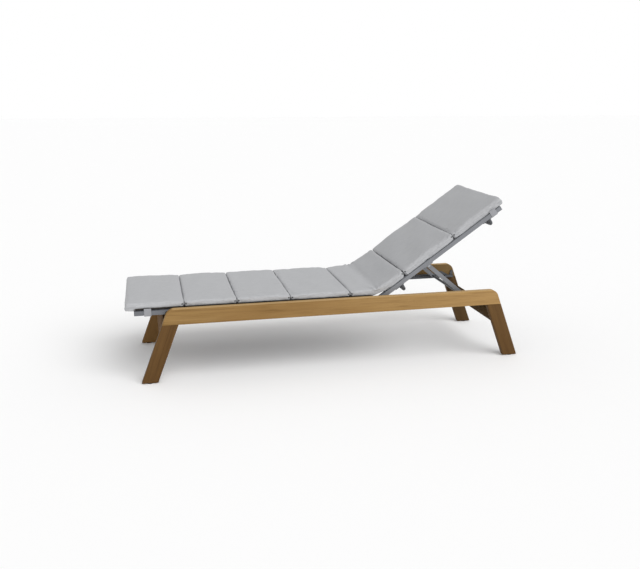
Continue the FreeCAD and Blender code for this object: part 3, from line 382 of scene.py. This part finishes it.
def on_backrest(piece):
    """Raise a piece that was made level, with the hinge at the origin, to the backrest's slope."""
    piece.data.transform(Matrix.Translation(HINGE) @ Matrix.Rotation(-TILT, 4, "Y"))


sling_mesh = Finish("sling_mesh")
warp = sling_mesh.place()
across_y = sling_mesh.node("ShaderNodeTexWave", {"bands_direction": "Y"}, {"Vector": warp, "Scale": 90.0})
along_x = sling_mesh.node("ShaderNodeTexWave", {"bands_direction": "X"}, {"Vector": warp, "Scale": 70.0})
threads = across_y.math("MAXIMUM", along_x)
tone = sling_mesh.noise(warp, scale=9.0, detail=2.0)
cloth_tone = sling_mesh.mix(tone, linear("8A8B8E"), linear("7A7B7F"))
sling_mesh.set(Base_Color=sling_mesh.mix(threads.ramp(0.2, 0.8), linear("4C4D50"), cloth_tone),
               Roughness=tone * 0.1 + 0.62)
sling_mesh.bump(threads, strength=0.5, distance=0.0006)


def make_sling(name, start, length, half_width, level):
    """A level sheet that dips between its long edges."""
    bpy.ops.object.select_all(action="DESELECT")
    bpy.ops.mesh.primitive_grid_add(x_subdivisions=SLING_CELLS[0], y_subdivisions=SLING_CELLS[1],
                                    size=1, location=(start + length / 2, 0, level))
    piece = bpy.context.object
    piece.name = name
    piece.scale = (length, half_width * 2, 1)
    bpy.ops.object.transform_apply(location=True, rotation=True, scale=True)
    for corner in piece.data.vertices:
        share = corner.co.y / half_width
        corner.co.z -= SLING_DIP * max(0.0, 1 - share * share * SLING_DIP_SHARE)
    thicken = piece.modifiers.new("weave", "SOLIDIFY")
    thicken.thickness = SLING_THICK
    thicken.offset = 0
    bpy.ops.object.modifier_apply(modifier=thicken.name)
    bpy.ops.object.shade_smooth_by_angle(angle=math.radians(40))
    piece.data.materials.append(sling_mesh.material)
    return piece


for name, body, start, length, half_width, level in SLINGS:
    sling = make_sling(f"{name}_sling_cloth", start, length, half_width, level)
    if body == "backrest":
        on_backrest(sling)
    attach(sling, body)
    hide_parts(f"{name}_sling")

# Hinge and racks: coated steel plates on the seat tubes with riveted pins, and toothed bars
# along the rails' inner faces that the prop's foot bar drops into.
dress(dark_coat, "hinge_plate_left", "hinge_plate_right", "rack_plate_left", "rack_plate_right",
      "rack_teeth_left", "rack_teeth_right")

# Backrest frame: tubes on the hinge pins with a top bar, in a paler grey than the seat's, whose
# darker grey is painted shade, and two bent bars in flanges, in the dark one.
dress(frame_coat, "back_tube_left", "back_tube_right", "back_top_bar", "back_end_caps")
dress(dark_coat, "back_spreader_low", "back_spreader_high", "back_flanges")

# Prop: two flat bars riveted to brackets under the backrest, with a round foot bar between
# them that is coated dark, as the racks are.
dress(frame_coat, "prop_leg_left", "prop_leg_right", "prop_brackets")
dress(dark_coat, "prop_foot_bar")

# Cushion: seven foam panels in one sewn cover of woven acrylic, light grey. The cover is drawn
# in to a flat seam between the panels, and bar-tacked at both ends of every seam. Its lower edges
# curve in over the rails, and over the hinge it bridges the bend.
HALF_WIDTH = 0.2663
THICK = 0.033
UNDERSIDE = 0.0103
BEND_REACH = 0.050
BEND_RADIUS = BEND_REACH / math.tan(TILT / 2)
BEND_CENTRE = (HINGE.x - UNDERSIDE * math.tan(TILT / 2) - BEND_REACH,
               HINGE.z + UNDERSIDE + BEND_RADIUS)
BEND_MIDDLE = BEND_RADIUS * TILT * 0.5
SEAT_SEAMS = (-0.960, -0.69666, -0.45607, -0.20411, 0.085)
BACK_SEAMS = (0.168, 0.4655, 0.763)
WELD = 0.00002
VOXEL = 0.005
END_PLAY, SIDE_PLAY, HEIGHT_SHARE = 0.001, 0.003, 0.96
MIDDLE_SHARE = 0.55
FIRST_SEED = 40


def laid_flat(places, kind):
    """Along, across and height of points of a panel on the seat, on the backrest or at the bend."""
    x, y, z = places.T
    if kind == "seat":
        return np.stack([x, y, z - HINGE.z - UNDERSIDE], 1)
    c, s = math.cos(TILT), math.sin(TILT)
    if kind == "back":
        dx, dz = x - HINGE.x, z - HINGE.z
        return np.stack([dx * c + dz * s, y, dz * c - dx * s - UNDERSIDE], 1)
    dx, dz = x - BEND_CENTRE[0], z - BEND_CENTRE[1]
    angle = np.clip(np.arctan2(dx, -dz), 0, TILT)
    beyond = dx * np.cos(angle) + dz * np.sin(angle)
    fall = dx * np.sin(angle) - dz * np.cos(angle)
    return np.stack([angle * BEND_RADIUS + beyond, y, BEND_RADIUS - fall], 1)


def laid_back(flat, kind):
    """The reverse of laid_flat."""
    along, y, up = flat.T
    if kind == "seat":
        return np.stack([along, y, up + HINGE.z + UNDERSIDE], 1)
    c, s = math.cos(TILT), math.sin(TILT)
    if kind == "back":
        n = up + UNDERSIDE
        return np.stack([HINGE.x + along * c - n * s, y, HINGE.z + along * s + n * c], 1)
    angle = np.clip(along / BEND_RADIUS, 0, TILT)
    beyond = along - angle * BEND_RADIUS
    fall = BEND_RADIUS - up
    return np.stack([BEND_CENTRE[0] + beyond * np.cos(angle) + fall * np.sin(angle), y,
                     BEND_CENTRE[1] + beyond * np.sin(angle) - fall * np.cos(angle)], 1)


def get_places(piece):
    """A piece's corners, one to a row."""
    flat = np.empty(len(piece.data.vertices) * 3)
    piece.data.vertices.foreach_get("co", flat)
    return flat.reshape(-1, 3)


def set_places(piece, places):
    piece.data.vertices.foreach_set("co", np.ascontiguousarray(places, dtype=np.float32).ravel())
    piece.data.update()


END_BOW = 0.0264
END_BAND, END_EASE = 0.030, 0.020
SIDE_SHARE, SIDE_EASE_SHARE, SIDE_SLOPE_SHARE = 0.80, 0.17, 0.05
EDGE_SHARE, EDGE_EASE_SHARE = 0.97, 0.03
EDGE_LOW_SHARE, EDGE_HIGH_SHARE = 0.15, 0.19
DRAWN_SIDE_LOW_SHARE, DRAWN_SIDE_HIGH_SHARE = 0.3, 0.6
DRAWN_EDGE_LOW_SHARE, DRAWN_EDGE_HIGH_SHARE = 0.04, 0.10


def square_up(flat, span):
    """Draw a panel's ends and sides out to nearly upright faces, as its foam is cut."""
    along, across, up = flat.T
    middle, half = (span[0] + span[1]) / 2, (span[1] - span[0]) / 2
    bow = END_BOW * (up / THICK - 0.5) ** 2
    reach = np.clip((np.abs(along - middle) - half + END_BAND) / END_EASE, 0, 1)
    flat[:, 0] += np.sign(along - middle) * bow * reach
    width_share = np.abs(across) / HALF_WIDTH
    outer = np.clip((width_share - SIDE_SHARE) / SIDE_EASE_SHARE, 0, 1) * SIDE_SLOPE_SHARE
    edge = np.clip((width_share - EDGE_SHARE) / EDGE_EASE_SHARE, 0, 1)
    low, high = outer + EDGE_LOW_SHARE * edge, 1 - outer - EDGE_HIGH_SHARE * edge
    new_low = DRAWN_SIDE_LOW_SHARE * outer + DRAWN_EDGE_LOW_SHARE * edge
    new_high = 1 - DRAWN_SIDE_HIGH_SHARE * outer - DRAWN_EDGE_HIGH_SHARE * edge
    flat[:, 2] = THICK * (new_low + (up / THICK - low) * (new_high - new_low) / (high - low))


SEWN_HALF_HEIGHT, SEWN_SIDE, SEWN_END = 0.0035, 0.009, 0.006
FILL_FRAMES = 14
FILL_LIMIT = 0.0040
COVER_CLOTH = {"quality": 4, "mass": 0.2, "tension_stiffness": 12, "compression_stiffness": 12,
               "shear_stiffness": 6, "bending_stiffness": 0.4, "use_pressure": True,
               "uniform_pressure_force": 2.5, "shrink_min": -0.012}


def fill_panel(piece, kind, span):
    """Blow the cover up over its foam, held at its sewn edge, then draw it back to its limits."""
    start = get_places(piece)
    along, across, up = laid_flat(start, kind).T
    middle = np.abs(up - 0.5 * THICK) < SEWN_HALF_HEIGHT
    at_side = np.abs(across) > HALF_WIDTH - SEWN_SIDE
    at_end = (along < span[0] + SEWN_END) | (along > span[1] - SEWN_END)
    sewn = piece.vertex_groups.new(name="sewn")
    sewn.add([int(i) for i in np.nonzero(middle & (at_side | at_end))[0]], 1.0, "REPLACE")
    cloth = piece.modifiers.new("cover", "CLOTH")
    for key, value in COVER_CLOTH.items():
        setattr(cloth.settings, key, value)
    cloth.settings.vertex_group_mass = sewn.name
    cloth.settings.effector_weights.gravity = 0
    cloth.point_cache.frame_start = 1
    cloth.point_cache.frame_end = FILL_FRAMES
    for number in range(1, FILL_FRAMES + 1):
        bpy.context.scene.frame_set(number)
    bpy.ops.object.modifier_apply(modifier=cloth.name)
    bpy.context.scene.frame_set(1)
    piece.vertex_groups.clear()
    moved = get_places(piece) - start
    length = np.linalg.norm(moved, axis=1, keepdims=True)
    set_places(piece, start + moved * np.minimum(1, FILL_LIMIT / np.maximum(length, 1e-9)))


def between(value, low, high):
    """From 0 at low to 1 at high, evenly. High may be the lesser one."""
    return np.clip((value - low) / (high - low), 0, 1)


def mound(distance, width):
    """A smooth hill, 1 high at no distance."""
    return np.exp(-(distance / width) ** 2)


EASE_SIDES = (0.020, 0.050)
EASE_ENDS = (0.012, 0.037)
EASE_HEIGHT_SHARES = (0.60, 0.80)
EASE_ROUNDS = 60


def ease_fold(piece, span):
    """Smooth the fold that filling leaves across the top of the panel at the bend."""
    along, across, up = laid_flat(get_places(piece), "bend").T
    amount = between(up / THICK, *EASE_HEIGHT_SHARES)
    amount *= between(HALF_WIDTH - np.abs(across), *EASE_SIDES)
    for distance in (along - span[0], span[1] - along):
        amount *= between(distance, *EASE_ENDS)
    top = piece.vertex_groups.new(name="top")
    for index in np.nonzero(amount)[0]:
        top.add([int(index)], float(amount[index]), "REPLACE")
    smooth = piece.modifiers.new("ease", "SMOOTH")
    smooth.factor = 0.5
    smooth.iterations = EASE_ROUNDS
    smooth.vertex_group = top.name
    bpy.ops.object.modifier_apply(modifier=smooth.name)
    piece.vertex_groups.clear()


SEAM_SPACE = 0.0003
CROWN_PUSH, CROWN_BAND = 0.0024, 0.012
CROWN_SHARES = (0.45, 0.75)
UPPER_SHARES = (0.45, 0.85)


def push_crowns(flat, span):
    """Fill a panel's upper ends out towards its seams, so that they close to a narrow line."""
    along, across, up = flat.T
    for sign, distance in ((-1, along - span[0]), (1, span[1] - along)):
        crown = between(up / THICK, *CROWN_SHARES) * between(distance, CROWN_BAND, 0)
        along += sign * CROWN_PUSH * crown
    along[:] = np.clip(along, span[0] + SEAM_SPACE, span[1] - SEAM_SPACE)


FREE_BAND = 0.022
CORNER_ROUNDING = {"seat": 0.010, "back": 0.004}
CORNER_WIDTH = 0.014
CORNER_FULLNESS, FULL_WIDTH, FULL_LENGTH = 0.004, 0.035, 0.055
EAR_REACH, EAR_WIDTH, EAR_HEIGHT, EAR_SHARE = 0.0060, 0.016, 0.010, 0.40


def shape_free_end(flat, upper, kind, sign, distance):
    """Round the corners of the cushion's free end, with an ear of cover below each."""
    along, across, up = flat.T
    inward = HALF_WIDTH - np.abs(across)
    at_end = mound(distance, FREE_BAND)
    rounding = np.exp(-np.clip(inward, 0, None) / CORNER_WIDTH)
    along -= sign * CORNER_ROUNDING[kind] * upper * rounding * at_end
    ear = mound(inward, EAR_WIDTH) * mound(up - EAR_SHARE * THICK, EAR_HEIGHT)
    along += sign * EAR_REACH * ear * at_end
    up += CORNER_FULLNESS * upper * mound(inward, FULL_WIDTH) * mound(distance, FULL_LENGTH)


FULL_TURN = 2 * math.pi
PHASES = (0, 6.3)
END_PUCKERS = (0.0008, 0.016, (0.028, 0.085))
SIDE_PUCKERS = (0.0013, 0.020, (0.030, 0.090))
PUCKER_WAVES = 5
SWELL_HEIGHT, SWELL_LENGTHS, SWELL_TURNS, SWELL_WAVES = 0.00035, (0.09, 0.26), (-0.5, 0.5), 7


def puckers(run, distance, form, chance):
    """Small waves along an edge that die away from it."""
    height, fade, lengths = form
    wave = sum(np.sin(run * FULL_TURN / chance.uniform(*lengths) + chance.uniform(*PHASES))
               for _ in range(PUCKER_WAVES)) / PUCKER_WAVES
    return height * wave * np.exp(-np.clip(distance, 0, None) / fade)


def cover_waves(flat, ends, chance):
    """The puckers along a panel's ends and sides, and the slow swell of its top."""
    along, across, up = flat.T
    lift = np.zeros(len(flat))
    for distance in ends:
        lift += puckers(across, distance, END_PUCKERS, chance)
    for side in (-1, 1):
        lift += puckers(along, HALF_WIDTH - side * across, SIDE_PUCKERS, chance)
    for _ in range(SWELL_WAVES):
        turn = chance.uniform(*SWELL_TURNS)
        run = along * math.cos(turn) + across * math.sin(turn)
        length = chance.uniform(*SWELL_LENGTHS)
        lift += SWELL_HEIGHT * np.sin(run * FULL_TURN / length + chance.uniform(*PHASES))
    return lift


TOP_BRIDGE, TOP_BRIDGE_LENGTH = 0.0065, 0.075
UNDER_BRIDGE, UNDER_BRIDGE_LENGTH, UNDER_BRIDGE_PLACE = 0.0105, 0.045, 0.010
UNDER_SHARE = 0.7
DENT_DEPTH, DENT_SIZES, DENT_PLACE = 0.0025, (0.045, 0.09), (0.070, -0.07)
FAN_HEIGHT, FAN_SIZES, FAN_PLACE = 0.0026, (0.050, 0.075), -0.018
FAN_CENTRE = 0.035
FAN_FOLDS, FAN_PHASE = 11.0, 0.8


def bridge_bend(flat):
    """Lift the cover over the bend, and return the lift of its dent and of its fans of creases."""
    along, across, up = flat.T
    place = along - BEND_MIDDLE
    under = between(up, UNDER_SHARE * THICK, 0)
    up += TOP_BRIDGE * (1 - under) * mound(place, TOP_BRIDGE_LENGTH) \
        + UNDER_BRIDGE * under * mound(place - UNDER_BRIDGE_PLACE, UNDER_BRIDGE_LENGTH)
    lift = -DENT_DEPTH * mound(place - DENT_PLACE[0], DENT_SIZES[0]) \
        * mound(across - DENT_PLACE[1], DENT_SIZES[1])
    for side in (-1, 1):
        inward = HALF_WIDTH - side * across
        corner = mound(inward, FAN_SIZES[1]) * mound(place - FAN_PLACE, FAN_SIZES[0])
        fan = np.arctan2(place, inward + FAN_CENTRE)
        lift += FAN_HEIGHT * corner * np.sin(fan * FAN_FOLDS + FAN_PHASE * side)
    return lift


TACK_PLACE, TACK_SHARE = 0.0085, 0.66
TACK_FACE = (0.014, 0.008)
TACK_DEPTH, TACK_WIDTH, TACK_MARK = 0.0030, 0.0070, 0.0046
NOTCH_DEPTH, NOTCH_BAND, NOTCH_SHARE = 0.006, 0.02, 0.55


def tack_end(flat, sign, distance):
    """Pinch a sewn end's two side corners, notch them below, and return the pinched places, which take
    painted shade.
    """
    along, across, up = flat.T
    pinch = np.zeros(len(flat))
    for side in (-1, 1):
        gap = np.hypot(distance - TACK_PLACE, up - TACK_SHARE * THICK)
        facing = between(HALF_WIDTH - side * across, *TACK_FACE)
        across -= side * TACK_DEPTH * mound(gap, TACK_WIDTH) * facing
        pinch = np.maximum(pinch, mound(gap, TACK_MARK) * facing)
        below = between(up, NOTCH_SHARE * THICK, 0) * between(distance, NOTCH_BAND, 0)
        along -= sign * NOTCH_DEPTH * below * facing
    return pinch


TUCK_HEIGHT, TUCK_DEPTH, TUCK_POWER = 0.0165, 0.012, 1.5
TUCK_BAND = (0.030, 0.006)
TUCK_SHADE = (0.0152, 0.0117)
TUCK_FREE_END = (0.035, 0.050)
TUCK_BEND = (0.03, 0.0)


def tuck_edges(flat, kind, free_start):
    """Curve the lower side edges in along the rails, and return where the cover takes painted shade."""
    along, across, up = flat.T
    amount = between(np.abs(across), HALF_WIDTH - TUCK_BAND[0], HALF_WIDTH - TUCK_BAND[1])
    if kind == "bend":
        amount *= between(along, *TUCK_BEND)
    if free_start is not None:
        amount *= between(free_start, *TUCK_FREE_END)
    low = between(up, TUCK_HEIGHT, 0)
    across -= np.sign(across) * TUCK_DEPTH * low ** TUCK_POWER * amount
    return between(up, *TUCK_SHADE) * amount


REST_HEIGHT = 0.0002


def sew_panel(piece, kind, span, seed, tacked):
    """Give a filled panel its seams, puckers, pinched corners and in-curved lower edges, with the
    underside flat.
    """
    smooth = piece.modifiers.new("cover", "SUBSURF")
    smooth.levels = smooth.render_levels = 1
    bpy.ops.object.modifier_apply(modifier=smooth.name)
    flat = laid_flat(get_places(piece), kind)
    upper = between(flat[:, 2], UPPER_SHARES[0] * THICK, UPPER_SHARES[1] * THICK)
    push_crowns(flat, span)
    starts, stops = flat[:, 0] - span[0], span[1] - flat[:, 0]
    ends = ((-1, starts, tacked[0]), (1, stops, tacked[1]))
    for sign, distance, held in ends:
        if not held:
            shape_free_end(flat, upper, kind, sign, distance)
    lift = cover_waves(flat, (starts, stops), np.random.default_rng(seed))
    if kind == "bend":
        lift += bridge_bend(flat)
    flat[:, 2] += lift * upper
    pinch = np.zeros(len(flat))
    for sign, distance, held in ends:
        if held:
            pinch = np.maximum(pinch, tack_end(flat, sign, distance))
    shade = np.zeros(len(flat))
    if kind != "back":
        shade = tuck_edges(flat, kind, None if tacked[0] else starts)
    flat[:, 2] = np.maximum(flat[:, 2], REST_HEIGHT)
    flat[:, 1] = np.clip(flat[:, 1], -HALF_WIDTH, HALF_WIDTH)
    set_places(piece, laid_back(flat, kind))
    weave = piece.data.attributes.new("weave_place", "FLOAT_VECTOR", "POINT")
    weave.data.foreach_set("vector", flat.astype(np.float32).ravel())
    for name, values in (("pinch_shade", pinch), ("lower_edge_shade", shade)):
        marks = piece.data.attributes.new(name, "FLOAT", "POINT")
        marks.data.foreach_set("value", values.astype(np.float32))


THREAD_PITCH = 0.0016
PIPING_SHARE = 0.55

cover = Finish("light_grey_cover")
spot = cover.node("ShaderNodeAttribute", {"attribute_name": "weave_place"}, output=1)
run_along = cover.node("ShaderNodeSeparateXYZ", {}, {"Vector": spot})
run_across = Value(cover, run_along.socket.node.outputs[1])
rise = Value(cover, run_along.socket.node.outputs[2])
pinch_shade_node = cover.node("ShaderNodeAttribute", {"attribute_name": "pinch_shade"}, output=2)
lower_edge_shade_node = cover.node("ShaderNodeAttribute", {"attribute_name": "lower_edge_shade"}, output=2)
thread_a = ((run_along + rise) * (FULL_TURN / THREAD_PITCH)).math("SINE")
thread_b = ((run_across + rise) * (FULL_TURN / THREAD_PITCH)).math("SINE")
woven = thread_a * thread_b * 0.5 + 0.5
drawn_out = cover.node("ShaderNodeMapping", {}, {"Vector": spot, "Scale": (30, 900, 200)})
slub = cover.noise(drawn_out, scale=1.0, detail=2.0)
patch = cover.noise(cover.node("ShaderNodeMapping", {}, {"Vector": spot}), scale=7.0)
edge_line = 1.0 - (rise - PIPING_SHARE * THICK).math("ABSOLUTE").ramp(0.0006, 0.0018)
edge_line = edge_line * run_across.math("ABSOLUTE").ramp(HALF_WIDTH - 0.010, HALF_WIDTH - 0.004)
yarn = cover.mix(slub.ramp(0.35, 0.65), linear("B5B6B8"), linear("A8A9AB"))
for layer, tone in ((patch.ramp(0.3, 0.7) * 0.35, "AEAFB2"), (woven * 0.16, "8E8F92"),
                    # Painted shade: the pinched corners at the seams' ends are darkened.
                    (edge_line * 0.20, "6C6D70"), (pinch_shade_node.ramp(0.25, 0.8), "3A3B3D"),
                    # Painted shade: the lower side edges curved in over the rails are darkened to a dark
                    # brown.
                    (lower_edge_shade_node.ramp(0.0, 1.0) * 0.92, "2A1D0E")):
    yarn = cover.mix(layer, yarn, linear(tone))
cover.set(Base_Color=yarn, Roughness=slub * 0.1 + 0.78, Specular_IOR_Level=0.25,
          Sheen_Weight=0.12, Sheen_Roughness=0.5)
cover.bump(woven * 0.5 + slub * 0.5 - edge_line * 1.5, strength=0.35, distance=0.0005)

panels = [("seat", first, last) for first, last in zip(SEAT_SEAMS, SEAT_SEAMS[1:])]
panels.append(("bend", SEAT_SEAMS[-1] - BEND_CENTRE[0],
               BEND_RADIUS * TILT + BACK_SEAMS[0] - (UNDERSIDE * math.tan(TILT / 2) + BEND_REACH)))
panels += [("back", first, last) for first, last in zip(BACK_SEAMS, BACK_SEAMS[1:])]
for number, (kind, first, last) in enumerate(panels, start=1):
    node = f"cushion_panel_{number}"
    piece = bpy.data.objects.new(f"cushion_{number}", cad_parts[node].data.copy())
    bpy.context.scene.collection.objects.link(piece)
    bpy.ops.object.select_all(action="DESELECT")
    piece.select_set(True)
    bpy.context.view_layer.objects.active = piece
    bpy.ops.object.mode_set(mode="EDIT")
    bpy.ops.mesh.select_all(action="SELECT")
    bpy.ops.mesh.remove_doubles(threshold=WELD)
    bpy.ops.object.mode_set(mode="OBJECT")
    piece.data.materials.clear()
    flat = laid_flat(get_places(piece), kind)
    centre = np.array([(first + last) / 2, 0, THICK * MIDDLE_SHARE])
    square_up(flat, (first, last))
    smaller = np.array([1 - END_PLAY / (last - first), 1 - SIDE_PLAY / HALF_WIDTH, HEIGHT_SHARE])
    set_places(piece, centre + (flat - centre) * smaller)
    piece.data.remesh_voxel_size = VOXEL
    bpy.ops.object.voxel_remesh()
    set_places(piece, laid_back(get_places(piece), kind))
    fill_panel(piece, kind, (first, last))
    if kind == "bend":
        ease_fold(piece, (first, last))
    tacked = (number > 1, number < len(panels))
    sew_panel(piece, kind, (first, last), FIRST_SEED + number, tacked)
    piece.data.materials.append(cover.material)
    bpy.ops.object.shade_smooth()
    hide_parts(node)
    if kind == "bend":
        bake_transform(piece)
    else:
        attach(piece, "base" if kind == "seat" else "backrest")

# Straps: four loops of grey webbing sewn to the cushion, round the tubes at its foot and head.
# Each hangs a little slack under its tube, with its two bends eased.
STRAP_WIDTH = 0.032
STRAP_THICK = 0.0015
STRAP_SLACK = 0.003
STRAP_SPACE = 0.0003 + STRAP_THICK / 2
STRAP_BEND = 0.0032
STRAP_INNER_TOP, STRAP_OUTER_TOP = 0.010, 0.022
TUBE_HALF_HEIGHT = 0.010
SAME_PLACE = 0.0002
STRAPS = (("foot", "base", -0.876, 0.2405, 0.2665, HINGE.z),
          ("head", "backrest", 0.677, 0.241, 0.266, 0.0))


def make_strap(name, start, inner, outer, level, side):
    """A strip under the tube, drawn up on both sides."""
    low = level - TUBE_HALF_HEIGHT - STRAP_SPACE - STRAP_SLACK
    bpy.ops.object.select_all(action="DESELECT")
    bpy.ops.mesh.primitive_plane_add(size=1, location=(start + STRAP_WIDTH / 2, (inner + outer) / 2, low))
    piece = bpy.context.object
    piece.name = name
    piece.scale = (STRAP_WIDTH, outer - inner + STRAP_SPACE * 2, 1)
    bpy.ops.object.transform_apply(location=True, rotation=True, scale=True)
    bpy.ops.object.mode_set(mode="EDIT")
    for edge_y, top in ((inner - STRAP_SPACE, level + STRAP_INNER_TOP),
                        (outer + STRAP_SPACE, level + STRAP_OUTER_TOP)):
        choose("EDGE", lambda a, b: abs(a.y - edge_y) + abs(b.y - edge_y) < SAME_PLACE)
        bpy.ops.mesh.extrude_region_move(TRANSFORM_OT_translate={"value": (0, 0, top - low)})
    choose("EDGE", lambda a, b: abs(a.z - low) + abs(b.z - low) < SAME_PLACE
           and abs(a.x - b.x) > STRAP_WIDTH / 2)
    ease(STRAP_BEND, 4)
    bpy.ops.mesh.select_all(action="SELECT")
    bpy.ops.mesh.normals_make_consistent(inside=False)
    bpy.ops.object.mode_set(mode="OBJECT")
    thicken = piece.modifiers.new("webbing", "SOLIDIFY")
    thicken.thickness = STRAP_THICK
    thicken.offset = 0
    bpy.ops.object.modifier_apply(modifier=thicken.name)
    bpy.ops.object.shade_smooth_by_angle(angle=math.radians(40))
    if side < 0:
        piece.data.transform(Matrix.Scale(-1, 4, (0, 1, 0)))
        piece.data.flip_normals()
    piece.data.materials.append(webbing.material)
    return piece


webbing = Finish("grey_webbing")
ribs = webbing.node("ShaderNodeTexWave", {"bands_direction": "X"},
                    {"Vector": webbing.place(), "Scale": 120.0})
picks = webbing.noise(webbing.place(), scale=900.0, detail=2.0)
webbing.set(Base_Color=webbing.mix(ribs * 0.5 + picks * 0.3, linear("9FA0A4"), linear("828387")),
            Roughness=picks * 0.1 + 0.74)
webbing.bump(ribs * 0.8 + picks * 0.3, strength=0.5, distance=0.0004)
for place, body, start, inner, outer, level in STRAPS:
    for side_name, side in (("left", -1), ("right", 1)):
        loop = make_strap(f"{place}_strap_{side_name}", start, inner, outer, level, side)
        if body == "backrest":
            on_backrest(loop)
        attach(loop, body)
        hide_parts(f"{place}_straps")

# Studio: a pale seamless floor that keeps the shadow, even light from all round, and one very
# wide lamp high in front of the head end. The camera is the one fitted to the photograph.
FLOOR_SIZE = 60
SKY_LIGHT, SKY_SEEN = 0.60, 1.0
LAMP_PLACE, LAMP_TARGET = (1.75, -3.1, 3.8), (0, 0, 0.3)
LAMP_ANGLE, LAMP_ENERGY = 55, 1.90
CAMERA_PLACE = (-0.8259, -3.5714, 1.3137)
CAMERA_HEADING, CAMERA_DOWN, CAMERA_ROLL = -12.97, 14.83, 0.18
SENSOR_WIDTH = 36
FOCAL_PIXELS, PHOTO_PIXELS = 746.35, 640

bpy.ops.object.select_all(action="DESELECT")
bpy.ops.mesh.primitive_plane_add(size=FLOOR_SIZE, location=(0, 0, 0))
floor = bpy.context.object
floor.name = "studio_floor"
paper = Finish("pale_floor")
paper.set(Base_Color=(0.96, 0.96, 0.96, 1), Roughness=0.9, Specular_IOR_Level=0.1)
floor.data.materials.append(paper.material)

world = bpy.data.worlds.new("studio")
bpy.context.scene.world = world
world.use_nodes = True
sky = world.node_tree
background = sky.nodes["Background"]
background.inputs["Color"].default_value = (1, 1, 1, 1)
rays = sky.nodes.new("ShaderNodeLightPath")
seen = rays.outputs["Is Camera Ray"]
for kind in ("Is Glossy Ray", "Is Transmission Ray"):
    either = sky.nodes.new("ShaderNodeMath")
    either.operation = "MAXIMUM"
    sky.links.new(seen, either.inputs[0])
    sky.links.new(rays.outputs[kind], either.inputs[1])
    seen = either.outputs[0]
strength = sky.nodes.new("ShaderNodeMapRange")
strength.inputs["To Min"].default_value = SKY_LIGHT
strength.inputs["To Max"].default_value = SKY_SEEN
sky.links.new(seen, strength.inputs["Value"])
sky.links.new(strength.outputs[0], background.inputs["Strength"])

bpy.ops.object.light_add(type="SUN", location=LAMP_PLACE)
lamp = bpy.context.object
lamp.name = "overhead_lamp"
lamp.data.angle = math.radians(LAMP_ANGLE)
lamp.data.energy = LAMP_ENERGY
lamp.rotation_euler = (Vector(LAMP_TARGET) - lamp.location).to_track_quat("-Z", "Y").to_euler()

bpy.ops.object.camera_add(location=CAMERA_PLACE)
camera = bpy.context.object
camera.rotation_euler = (Matrix.Rotation(math.radians(CAMERA_HEADING), 4, "Z")
                         @ Matrix.Rotation(math.radians(90 - CAMERA_DOWN), 4, "X")
                         @ Matrix.Rotation(math.radians(CAMERA_ROLL), 4, "Z")).to_euler()
camera.data.sensor_fit = "HORIZONTAL"
camera.data.sensor_width = SENSOR_WIDTH
camera.data.lens = FOCAL_PIXELS / PHOTO_PIXELS * SENSOR_WIDTH
bpy.context.scene.camera = camera
bpy.context.scene.view_settings.view_transform = "Standard"
